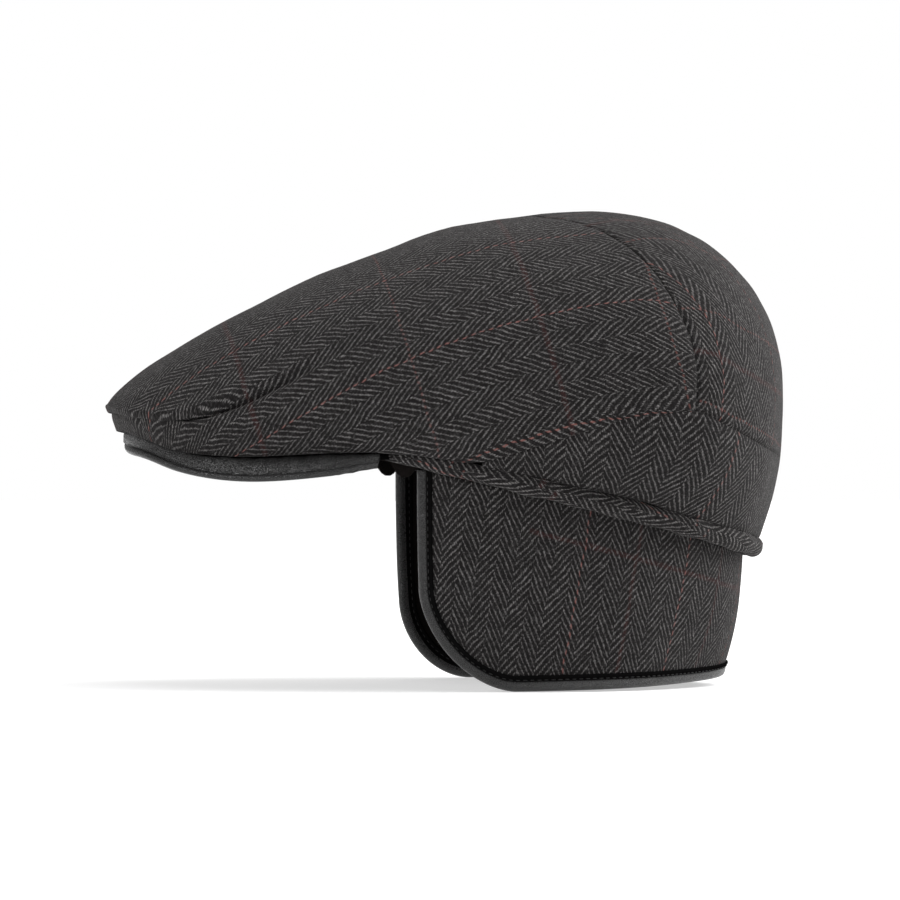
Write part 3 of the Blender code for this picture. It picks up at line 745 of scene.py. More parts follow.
@dataclass(frozen=True)
class WoolFinish:
    """Charcoal herringbone wool with light yarns and thin check lines."""

    name: str
    check: Check
    ground: tuple[float, float, float, float] = (0.0065, 0.0058, 0.0059, 1.0)
    yarn: tuple[float, float, float, float] = (0.205, 0.197, 0.194, 1.0)
    red: tuple[float, float, float, float] = (0.235, 0.092, 0.080, 1.0)
    maroon: tuple[float, float, float, float] = (0.050, 0.014, 0.013, 1.0)
    fibre: tuple[float, float, float, float] = (0.042, 0.040, 0.040, 1.0)
    turn: float = 0.0
    depth: float = 0.00040

    def build(self, weave: bpy.types.NodeTree) -> bpy.types.Material:
        """Make the material.

        Args:
            weave: The herringbone group.

        Returns:
            The material.
        """
        made, material, shader = start_material(self.name)
        cloth = made.add("ShaderNodeUVMap", uv_map="weave").outputs[0]
        turned = {"Vector": cloth, "Rotation": (0.0, 0.0, self.turn)}
        placed = made.add("ShaderNodeMapping", turned).outputs[0]
        group = made.add("ShaderNodeGroup", node_tree=weave)
        made.tree.links.new(placed, group.inputs["Cloth"])
        for label in ("Red Across", "Red Along", "Maroon Across", "Maroon Along"):
            start, pitch = getattr(self.check, label.lower().replace(" ", "_"))
            group.inputs[f"{label} Start"].default_value = start
            group.inputs[label].default_value = pitch
        group.inputs["Reach"].default_value = self.check.reach
        group.inputs["Begin"].default_value = self.check.begin
        out = group.outputs
        soft = made.noise(placed, 26.0, 3.0, 0.55)
        colour = made.blend(out["Fibre"], self.ground, self.fibre)
        colour = made.blend(made.math("MULTIPLY", out["Maroon"], 0.5), colour, self.maroon)
        strength = made.math("MULTIPLY", out["Yarn"], made.span(soft, 0.3, 0.7, 0.78, 1.0))
        colour = made.blend(strength, colour, self.yarn)
        colour = made.blend(made.math("MULTIPLY", out["Red"], 0.62), colour, self.red)
        colour = made.blend(made.math("MULTIPLY", out["Faint Red"], 0.30), colour, self.red)
        join(made, colour, shader, "Base Color")
        bump = made.add("ShaderNodeBump", {"Height": out["Height"], "Distance": self.depth, "Strength": 1.0})
        join(made, bump.outputs[0], shader, "Normal")
        shader.inputs["Roughness"].default_value = 0.95
        shader.inputs["Specular IOR Level"].default_value = 0.12
        shader.inputs["Sheen Weight"].default_value = 0.035
        shader.inputs["Sheen Roughness"].default_value = 0.45
        shader.inputs["Sheen Tint"].default_value = (0.90, 0.86, 0.86, 1.0)
        return material


@dataclass(frozen=True)
class LiningFinish:
    """Plain, closely woven dark cloth."""

    name: str = "lining_cloth"
    colour: tuple[float, float, float, float] = (0.0032, 0.0026, 0.0024, 1.0)
    wear_and_highlight: tuple[float, float, float, float] = (0.0100, 0.0078, 0.0072, 1.0)
    thread: float = 0.0007

    def build(self) -> bpy.types.Material:
        """Make the material."""
        made, material, shader = start_material(self.name)
        cloth = made.add("ShaderNodeUVMap", uv_map="weave").outputs[0]
        axes = made.add("ShaderNodeSeparateXYZ", {0: cloth}).outputs
        turns = TURN / self.thread
        warp = made.math("SINE", made.math("MULTIPLY", axes[0], turns))
        weft = made.math("SINE", made.math("MULTIPLY", axes[1], turns))
        basket = made.math("MULTIPLY", warp, weft)
        fuzz = made.noise(cloth, 1100.0, 2.0, 0.6)
        height = made.math("ADD", made.math("MULTIPLY", basket, 0.5), fuzz)
        colour = made.blend(made.span(height, 0.1, 1.1), self.colour, self.wear_and_highlight)
        join(made, colour, shader, "Base Color")
        bump = made.add("ShaderNodeBump", {"Height": height, "Distance": 0.00015, "Strength": 1.0})
        join(made, bump.outputs[0], shader, "Normal")
        shader.inputs["Roughness"].default_value = 0.85
        shader.inputs["Specular IOR Level"].default_value = 0.05
        return material


@dataclass(frozen=True)
class LeatherFinish:
    """Black fine-grained leather with a satin shine and lighter worn grain. Given a range of its UV map, the
    lighter colour and the shine are held back before that range and shown in full past it, which paints shade
    and a highlight.
    """

    name: str
    colour: tuple[float, float, float, float] = (0.0040, 0.0039, 0.0040, 1.0)
    wear_and_highlight: tuple[float, float, float, float] = (0.0160, 0.0155, 0.0155, 1.0)
    cell: float = 1500.0
    crease: float = 260.0
    depth: float = 0.00016
    gloss: tuple[float, float] = (0.27, 0.42)
    fade: tuple[float, float] | None = None

    def build(self, grain: bpy.types.NodeTree) -> bpy.types.Material:
        """Make the material.

        Args:
            grain: The leather grain group.

        Returns:
            The material.
        """
        made, material, shader = start_material(self.name)
        place = made.add("ShaderNodeTexCoord").outputs["Object"]
        group = made.add("ShaderNodeGroup", node_tree=grain)
        made.tree.links.new(place, group.inputs["Place"])
        group.inputs["Cell Scale"].default_value = self.cell
        group.inputs["Crease Scale"].default_value = self.crease
        wear = group.outputs["Wear"]
        wear_and_highlight = made.span(wear, 0.25, 0.8)
        # Painted shade and highlight: before the range the leather stays dark and has no shine; past it the
        # lighter colour and the shine show in full.
        if self.fade:
            pattern = made.add("ShaderNodeUVMap", uv_map="weave").outputs[0]
            shown = made.span(made.add("ShaderNodeSeparateXYZ", {0: pattern}).outputs[1], *self.fade)
            wear_and_highlight = made.math("MULTIPLY", made.span(wear, 0.1, 0.6, 0.5, 1.0), shown)
            join(made, made.math("MULTIPLY", shown, 0.5), shader, "Specular IOR Level")
        else:
            shader.inputs["Specular IOR Level"].default_value = 0.5
        join(made, made.blend(wear_and_highlight, self.colour, self.wear_and_highlight), shader, "Base Color")
        join(made, made.span(wear, 0.2, 0.7, *self.gloss), shader, "Roughness")
        relief = {"Height": group.outputs["Height"], "Distance": self.depth, "Strength": 1.0}
        bump = made.add("ShaderNodeBump", relief)
        join(made, bump.outputs[0], shader, "Normal")
        return material


# Lighter leather colours, shown over the grain's wear; on the peak this is also a painted highlight that
# grows toward its edge
PEAK_HIGHLIGHT_AND_WEAR = (0.066, 0.065, 0.065, 1.0)
BINDING_WORN = (0.015, 0.0145, 0.0145, 1.0)
# Shares of the way from the hem to the peak's edge between which the dark leather turns lighter: painted
# shade under the hem, painted highlight toward the edge
PEAK_SHADE_RANGE = (0.1, 0.8)
# Lengths round the binding's section between which its dark lip turns into the rolled edge; the lip and the
# stitched groove stay dark and without shine, which is painted shade
BINDING_SHADE_RANGE = (0.0195, 0.0202)


@dataclass(frozen=True)
class ThreadFinish:
    """Waxed black sewing thread."""

    name: str = "black_thread"
    colour: tuple[float, float, float, float] = (0.0025, 0.0025, 0.0025, 1.0)
    light: tuple[float, float, float, float] = (0.0110, 0.0105, 0.0105, 1.0)

    def build(self) -> bpy.types.Material:
        """Make the material."""
        made, material, shader = start_material(self.name)
        place = made.add("ShaderNodeTexCoord").outputs["Object"]
        twist = made.noise(place, 2600.0, 1.0, 0.5)
        join(made, made.blend(twist, self.colour, self.light), shader, "Base Color")
        bump = made.add("ShaderNodeBump", {"Height": twist, "Distance": 0.0001, "Strength": 0.8})
        join(made, bump.outputs[0], shader, "Normal")
        shader.inputs["Roughness"].default_value = 0.6
        shader.inputs["Specular IOR Level"].default_value = 0.3
        return material


# ---------------------------------------------------------------- crown


@dataclass
class CrownWeave:
    """Place of the crown's points on the flat cloth, whose threads run lengthwise and across.

    Cross threads lie in parallel planes that lean back as they go down, and more so under the nose.
    The lengthwise threads keep their distance from the centre line along them.
    """

    form: CapForm
    lean: float = 0.28
    nose_lean: float = 0.95
    nose_start: float = -0.130
    nose_length: float = 0.040
    nose_height: float = 0.036
    first: float = -0.180
    last: float = 0.110
    sections: int = 70
    stations: int = 90

    def __post_init__(self) -> None:
        """Measure the centre line and the crown's cross sections."""
        behind = np.linspace(-1, 0.72, 500)
        centre = self.form.crown_point(np.stack([np.zeros(500), behind], -1))
        self.centre_place = self.section_place(centre)
        self.centre_run = run_length(centre)
        self.places = np.linspace(self.first, self.last, self.sections)
        self.asides = np.linspace(0, 0.985, self.stations)
        aside = np.broadcast_to(self.asides, (self.sections, self.stations))
        low = -np.sqrt(1 - aside**2)
        high = -low
        for _ in range(26):
            middle = (low + high) / 2
            place = self.section_place(self.form.crown_point(np.stack([aside, middle], -1)))
            short = place < self.places[:, None]
            low, high = np.where(short, middle, low), np.where(short, high, middle)
        line = self.form.crown_point(np.stack([aside, (low + high) / 2], -1))
        self.across = run_length(np.moveaxis(line, 1, 0)).T

    def section_place(self, points: np.ndarray) -> np.ndarray:
        """Where the cross thread through each point would meet the level of the origin."""
        behind, height = points[..., 1], points[..., 2]
        nose = smooth_step((self.nose_start - behind) / self.nose_length)
        return behind + self.lean * height + self.nose_lean * nose * np.minimum(height - self.nose_height, 0)

    def weave(self, disc: np.ndarray) -> np.ndarray:
        """Place on the flat cloth, as distances from the centre line and along it.

        Args:
            disc: Points of the disc.

        Returns:
            Across and along distances in metres.
        """
        place = self.section_place(self.form.crown_point(disc))
        row = np.clip((place - self.first) / (self.last - self.first), 0, 1) * (self.sections - 1)
        column = np.clip(np.abs(disc[..., 0]) / self.asides[-1], 0, 1) * (self.stations - 1)
        aside = grid_value(self.across, row, column) * np.sign(disc[..., 0])
        return np.stack([aside, np.interp(place, self.centre_place, self.centre_run)], -1)


@dataclass
class BackWeave:
    """Place of the rear panel's points on the flat cloth, whose cross threads run beside the band."""

    form: CapForm
    band: np.ndarray
    height: float = 0.125
    reach: float = 0.54
    sections: int = 40
    stations: int = 50

    def __post_init__(self) -> None:
        """Measure the lengths along the cross threads, from the back centre outward."""
        self.line = self.form.crown_point(mirrored(self.band[None], (-1, 1))[0])
        heights = np.linspace(0.0, self.height, self.sections)[:, None]
        aside = np.broadcast_to(np.linspace(0.0, self.reach, self.stations), (self.sections, self.stations))
        low = np.full(aside.shape, -0.6)
        high = np.interp(aside, self.band[::-1, 0], self.band[::-1, 1])
        for _ in range(18):
            middle = (low + high) / 2
            above = self.up(np.stack([aside, middle], -1)) > heights
            low, high = np.where(above, middle, low), np.where(above, high, middle)
        thread = self.form.crown_point(np.stack([aside, (low + high) / 2], -1))
        self.across = run_length(np.moveaxis(thread, 1, 0)).T

    def up(self, disc: np.ndarray) -> np.ndarray:
        """Distance of points of the disc from the band."""
        return line_distance(self.form.crown_point(disc), self.line)

    def weave(self, disc: np.ndarray) -> np.ndarray:
        """Place on the flat cloth, as distances from the back centre and from the band."""
        up = self.up(disc)
        row = np.clip(up / self.height, 0, 1) * (self.sections - 1)
        column = np.clip(np.abs(disc[..., 0]) / self.reach, 0, 1) * (self.stations - 1)
        return np.stack([grid_value(self.across, row, column), up], -1)


@dataclass
class Crown:
    """Three wool panels of the crown: the main one, the rear one and the band."""

    form: CapForm
    main_wool: bpy.types.Material
    back_wool: bpy.types.Material
    band_wool: bpy.types.Material
    wall: float = 0.0020
    settle: float = 0.0005
    seam_gap: float = 0.00004
    seam_depth: float = 0.0009
    seam_width: float = 0.0010
    seam_start: float = 0.034
    seam_fade: float = 0.024
    hem_drop: float = 0.0018
    hem_rest: float = 0.0007
    hem_turn: float = 0.0005
    fold_depth: float = 0.0030
    fold_end: float = 4.0
    fold_drop: float = 0.0016
    fold_rows: tuple[float, float] = (0.46, 0.80)
    fold_reach: float = 0.09
    ripple_height: float = 0.0004
    ripple_size: float = 0.055
    point_gap: float = 0.1
    main_rows: int = 96
    hem_columns: int = 96
    side_columns: int = 34
    back_rows: int = 60
    back_columns: int = 70

    def shift_edge(self, edge: np.ndarray, side: int) -> np.ndarray:
        """Move an edge line on the disc sideways by just over half the gap between panels."""
        tangent = np.gradient(edge, axis=0)
        normal = unit(np.stack([tangent[:, 1], -tangent[:, 0]], -1))
        probe = 0.002
        moved = self.form.crown_point(edge + normal * probe) - self.form.crown_point(edge)
        stretch = np.linalg.norm(moved, axis=-1) / probe
        return edge + side * normal * (0.6 * self.seam_gap / stretch)[:, None]

    def seam_line(self, lower_steps: int, upper_steps: int) -> np.ndarray:
        """Points of the disc along the seam over the top, from its corner to the centre line."""
        lower = np.linspace(0, SEAM_TURN_ROW, lower_steps + 1)
        upper = np.linspace(SEAM_TURN_ROW, len(TOP_SEAM) - 1, upper_steps + 1)
        return curve_through(TOP_SEAM, np.concatenate([lower, upper[1:]]))

    def side_ribs(self) -> np.ndarray:
        """Rib numbers along the band from its front point to the seam's corner."""
        return np.linspace(BAND_TOP[0][0] + self.point_gap, BAND_TOP[SEAM_CORNER_ROW][0], self.side_columns)

    def back_ribs(self) -> np.ndarray:
        """Rib numbers along the band from the seam's corner to the back centre."""
        return np.linspace(BAND_TOP[SEAM_CORNER_ROW][0], LAST_RIB, self.back_columns)

    def main_levels(self, start: np.ndarray, edge: np.ndarray) -> np.ndarray:
        """Spread the main panel's rows, with close rows at the front fold.

        Args:
            start: Points of the disc at the seam, one for each column.
            edge: Points of the disc at the hem or the band, one for each column.

        Returns:
            Share of the way along each column for each row.
        """
        way = np.linspace(0, 1, 801)
        line = start[:, None] + (edge - start)[:, None] * way[:, None]
        radius = np.hypot(line[..., 0], line[..., 1])
        fold = self.form.rib_values(self.form.disc_rib(line))[..., 8]
        crossed = way[(radius >= fold).argmax(1)]
        edge_rib = self.form.disc_rib(edge)
        last = np.nonzero(edge_rib < self.fold_end)[0][-1]
        crossed[last + 1 :] = crossed[last]
        even = np.linspace(0, 1, self.main_rows + 1)
        reach, rows = self.fold_reach, (0, *self.fold_rows, 1)
        folded = np.stack([np.interp(even, rows, (0, at - reach, at + reach, 1)) for at in crossed], 1)
        return folded + (even[:, None] - folded) * smooth_step((edge_rib - self.fold_end + 1) / 2.5)

    def fold_shape(self, disc: np.ndarray) -> tuple[np.ndarray, np.ndarray]:
        """Outward offset and drop of the cloth at the front fold, whose lip hangs over its groove."""
        radius = np.hypot(disc[..., 0], disc[..., 1])
        fold, depth = np.moveaxis(self.form.rib_values(self.form.disc_rib(disc))[..., 8:10], -1, 0)
        past = radius - fold
        share = np.clip(depth, 0, 1)
        lip = 0.42 * bell(past, -0.028, 0.030) - bell(past, 0.014, 0.012) - 0.25 * bell(past, 0.03, 0.05)
        return self.fold_depth * share * lip, self.fold_drop * share * bell(past, -0.006, 0.012)

    def walls(self, disc: np.ndarray, seams: list[np.ndarray], hem: bool) -> tuple[np.ndarray, np.ndarray]:
        """Outer and inner faces of a panel.

        Args:
            disc: Grid of points of the disc.
            seams: Lines on the disc at which the panel is sewn to its neighbours.
            hem: Whether the last row is the crown's free lower edge.

        Returns:
            Grids of the outer and the inner points.
        """
        base = self.form.crown_point(disc)
        normal = self.form.crown_normal(disc)
        offset, drop = self.fold_shape(disc)
        offset += self.ripple_height * ripples(base, self.ripple_size, 5) - self.settle
        offset += 0.35 * self.ripple_height * ripples(base, self.ripple_size / 3, 8)
        thick = np.ones(base.shape[:-1])
        for seam in seams:
            away = line_distance(base, self.form.crown_point(seam))
            shown = smooth_step((np.abs(base[..., 0]) - self.seam_start) / self.seam_fade)
            offset -= self.seam_depth * shown * bell(away, 0, self.seam_width)
            thick = np.minimum(thick, edge_share(away, 0.003, 0.3))
        if hem:
            edge = run_length(base)
            away = edge[-1] - edge
            sewn = smooth_step((self.form.disc_rib(disc) - 4.2) / 0.9)
            offset -= self.hem_turn * sewn * bell(away, 0, 0.0009)
            drop += (self.hem_rest + (self.hem_drop - self.hem_rest) * sewn) * bell(away, 0, 0.007)
            thick = np.minimum(thick, edge_share(away, 0.002, 0.2))
        outer = base + normal * offset[..., None]
        outer[..., 2] -= drop
        return outer, outer - normal * (self.wall * thick)[..., None]

    def build_main(self, weave: CrownWeave) -> None:
        """Build the top and sides, from the front over the top to the rear seam.

        Args:
            weave: The flat cloth of the panel.
        """
        columns = self.hem_columns + self.side_columns
        seam = self.shift_edge(self.seam_line(self.main_rows, columns - 1), -1)
        seam[-1, 0] = 0
        hem_ribs = np.linspace(0, 1, self.hem_columns) ** 1.15 * (BAND_TOP[0][0] - self.point_gap)
        band = self.form.band_top_line(self.side_ribs())
        corner = band[-1].copy()
        band = self.shift_edge(band, -1)
        seam[0] += band[-1] - corner
        edge = np.concatenate([self.form.polar(hem_ribs, np.ones(len(hem_ribs))), band[:-1], seam[:1]])
        start, side = seam[: self.main_rows - 1 : -1], seam[self.main_rows :: -1]
        grid = start + (edge - start) * self.main_levels(start, edge)[..., None]
        bend = side - grid[:, -1]
        grid += bend[:, None] * smooth_step((self.form.disc_rib(edge) - 6) / 2.34)[:, None]
        grid[:, -1] = side
        left = grid[:, ::-1] * (-1, 1)
        whole = mirrored(left, (-1, 1))
        top_seam = mirrored(seam[None], (-1, 1))[0]
        outer, inner = self.walls(whole, [top_seam, band, band * (-1, 1)], hem=True)
        flat = mirrored(weave.weave(left * (-1, 1)) * (-1, 1), (-1, 1))
        flat[..., 0] = np.abs(flat[..., 0])
        piece = add_shell("crown_main_cloth", outer, inner, flat)
        dress(piece, self.main_wool, "wool", "crown_main")

    def build_back(self) -> None:
        """Rear panel, between the seam over the top and the band."""
        upper = self.back_columns - 1
        seam = self.shift_edge(self.seam_line(upper // 2, upper - upper // 2), 1)
        seam[-1, 0] = 0
        band = self.shift_edge(self.form.band_top_line(self.back_ribs()), -1)
        for edge in (seam, band):
            edge[0] += (edge[1] - edge[0]) * 0.25
        shares = np.linspace(0, 1, self.back_rows)[:, None, None]
        whole = mirrored(seam + (band - seam) * shares, (-1, 1))
        outer, inner = self.walls(whole, [whole[0], whole[-1]], hem=False)
        piece = add_shell("crown_back_cloth", outer, inner, BackWeave(self.form, band).weave(whole))
        dress(piece, self.back_wool, "wool", "crown_back")

    def build_band(self) -> None:
        """Shaped band round the sides and the back, between the crown and the roll."""
        ribs = np.concatenate([self.side_ribs()[:-1], self.back_ribs()])
        top = self.shift_edge(self.form.band_top_line(ribs), 1)
        hem = self.form.polar(ribs, np.ones(len(ribs)))
        shares = np.linspace(0, 1, 36)[:, None, None]
        whole = mirrored(top + (hem - top) * shares, (-1, 1))
        outer, inner = self.walls(whole, [whole[0]], hem=True)
        up = run_length(outer[::-1])[::-1]
        along = run_length(outer[-1])
        middle = along[len(ribs) - 1]
        flat = np.stack([np.broadcast_to(along - middle, up.shape), up], -1)
        piece = add_shell("back_band_cloth", outer, inner, flat)
        dress(piece, self.band_wool, "wool", "back_band")

    def build(self) -> None:
        """Build the three panels."""
        self.build_main(CrownWeave(self.form))
        self.build_back()
        self.build_band()


# ---------------------------------------------------------------- rim


@dataclass
class Rim:
    """Padded bias roll round the rim, and the band inside the head opening."""

    form: CapForm
    wool: bpy.types.Material
    lining: bpy.types.Material
    lead: float = 0.0040
    end_share: float = 0.62
    swell_angle: float = math.radians(42)
    rise: float = 0.026
    drop: float = 0.0026
    dip: float = 0.0054
    flap_front: float = -0.0485
    steps: int = 420
    sides: int = 28
    pucker: float = 0.00022

    def build_roll(self) -> None:
        """Padded roll, from the end of the peak round to its other end."""
        form = self.form
        start = form.peak_end_angle() - self.lead / form.rim_half_width
        angles = np.linspace(start, 2 * np.pi - start, self.steps)
        path = form.rim_point(angles, np.zeros(self.steps), 0.0)
        ends = np.minimum(angles - start, 2 * np.pi - start - angles)
        swell = np.clip(ends / self.swell_angle, 0, 1) ** 0.6
        radius = form.roll_radius * (self.end_share + (1 - self.end_share) * swell)
        radius *= np.sqrt(np.clip(ends / 0.02, 0.02, 1))
        path[:, 2] += (form.roll_radius - np.maximum(radius, form.roll_radius * self.end_share)) * 0.9
        outward = np.concatenate([form.rim_frame(angles)[1], np.zeros((self.steps, 1))], -1)
        across, upward = path_frame(path, outward)
        section = ring(1.0, self.sides)[None] * radius[:, None, None]
        along = run_length(path)
        turns = np.arange(self.sides) * 2 * np.pi / self.sides
        waves = np.sin(along[:, None] * 2 * np.pi / 0.019 + turns * 1.2) + ripples(path, 0.03, 3)[:, None]
        section *= (1 - self.pucker / form.roll_radius * (1 + waves))[..., None]
        piece = add_bar("rim_roll_cloth", path, across, upward, section)
        dress(piece, self.wool, "wool", "rim_roll")

    def build_sweatband(self) -> None:
        """Band inside the head opening, with a dip on each side between the peak and the flap."""
        form = self.form
        dip_start = form.peak_end_angle() - math.radians(2)
        dip_end = math.acos(-self.flap_front / form.rim_half_length) - 2 * form.gap / form.rim_half_width
        angles = np.linspace(0, np.pi, 161)
        share = np.clip((angles - dip_start) / (dip_end - dip_start), 0, 1)
        bottom = -self.drop - self.dip * np.sin(np.pi * share) ** 0.7
        rows = np.linspace(0, 1, 9)[:, None]
        heights = self.rise + (bottom - self.rise) * rows
        out = np.broadcast_to(-form.roll_radius - form.gap, heights.shape)
        grid = np.broadcast_to(angles, heights.shape)
        outer = form.rim_point(grid, out, heights)
        inner = form.rim_point(grid, out - form.sweatband_wall, heights)
        outer = mirrored(outer, (-1, 1, 1))[:, :-1]
        inner = mirrored(inner, (-1, 1, 1))[:, :-1]
        around = run_length(np.moveaxis(outer, 1, 0)).T
        flat = np.stack([around, outer[..., 2]], -1)
        piece = add_shell("sweatband_cloth", outer, inner, flat, wrap=True)
        dress(piece, self.lining, "lining", "sweatband")

    def build(self) -> None:
        """Build the roll and the inner band."""
        self.build_roll()
        self.build_sweatband()


# ---------------------------------------------------------------- stitches


class Thread(Enum):
    """Kinds of stitch: pitch, length and half thickness in metres."""

    BINDING = (0.0030, 0.0019, 0.00022)
    PEAK = (0.0030, 0.0020, 0.00022)


@dataclass
class Stitcher:
    """Rows of stitches along a line, made by one node tree."""

    material: bpy.types.Material
    tree: bpy.types.NodeTree = field(init=False)

    def __post_init__(self) -> None:
        """Build the node tree: points along a curve, a rounded stitch on each."""
        tree = bpy.data.node_groups.new("stitch_row", "GeometryNodeTree")
        sockets = tree.interface
        sockets.new_socket("Line", in_out="INPUT", socket_type="NodeSocketGeometry")
        for name in ("Pitch", "Stitch Length", "Half Thickness"):
            sockets.new_socket(name, in_out="INPUT", socket_type="NodeSocketFloat")
        sockets.new_socket("Seed", in_out="INPUT", socket_type="NodeSocketInt")
        sockets.new_socket("Thread", in_out="INPUT", socket_type="NodeSocketMaterial")
        sockets.new_socket("Stitches", in_out="OUTPUT", socket_type="NodeSocketGeometry")
        made = Nodes(tree)
        source = made.add("NodeGroupInput").outputs
        curve = made.add("GeometryNodeMeshToCurve", {"Mesh": source["Line"]}).outputs["Curve"]
        spaced = {"Curve": curve, "Length": source["Pitch"]}
        even = made.add("GeometryNodeResampleCurve", spaced, mode="LENGTH").outputs["Curve"]
        tangent = made.add("GeometryNodeInputTangent").outputs["Tangent"]
        aim = made.add("FunctionNodeAlignRotationToVector", {"Vector": tangent}, axis="X")
        shape = {"Segments": 8, "Rings": 6, "Radius": 1.0}
        ball = made.add("GeometryNodeMeshUVSphere", shape).outputs["Mesh"]
        jitter = made.add(
            "FunctionNodeRandomValue", {2: 0.88, 3: 1.08, "Seed": source["Seed"]}, data_type="FLOAT"
        ).outputs[1]
        half = made.math("MULTIPLY", made.math("MULTIPLY", source["Stitch Length"], 0.5), jitter)
        scale = made.add(
            "ShaderNodeCombineXYZ", {"X": half, "Y": source["Half Thickness"], "Z": source["Half Thickness"]}
        ).outputs["Vector"]
        stitch = {"Points": even, "Instance": ball, "Rotation": aim.outputs["Rotation"], "Scale": scale}
        placed = made.add("GeometryNodeInstanceOnPoints", stitch)
        real = made.add("GeometryNodeRealizeInstances", {"Geometry": placed.outputs["Instances"]})
        dressed = made.add(
            "GeometryNodeSetMaterial", {"Geometry": real.outputs["Geometry"], "Material": source["Thread"]}
        )
        made.add("NodeGroupOutput", {"Stitches": dressed.outputs["Geometry"]})
        self.tree = tree

    def sew(self, name: str, line: np.ndarray, thread: Thread, slot: str, seed: int) -> None:
        """Sew one row of stitches.

        Args:
            name: Name of the piece.
            line: Points along the row.
            thread: Kind of stitch.
            slot: The record's material slot.
            seed: Number that fixes the small differences between stitches.
        """
        mesh = bpy.data.meshes.new(f"{name}_line")
        pairs = [(step, step + 1) for step in range(len(line) - 1)]
        mesh.from_pydata(line.tolist(), pairs, [])
        carrier = bpy.data.objects.new(f"{name}_line", mesh)
        bpy.context.scene.collection.objects.link(carrier)
        modifier = carrier.modifiers.new("stitches", "NODES")
        modifier.node_group = self.tree
        values = (*thread.value, seed, self.material)
        inputs = [item for item in self.tree.interface.items_tree if item.in_out == "INPUT"][1:]
        for socket, value in zip(inputs, values):
            modifier[socket.identifier] = value
        graph = bpy.context.evaluated_depsgraph_get()
        made = bpy.data.meshes.new_from_object(carrier.evaluated_get(graph), depsgraph=graph)
        carrier.modifiers.remove(modifier)
        bpy.data.objects.remove(carrier)
        made.name = name
        dress(make_object(name, made), self.material, slot)


# ---------------------------------------------------------------- peak


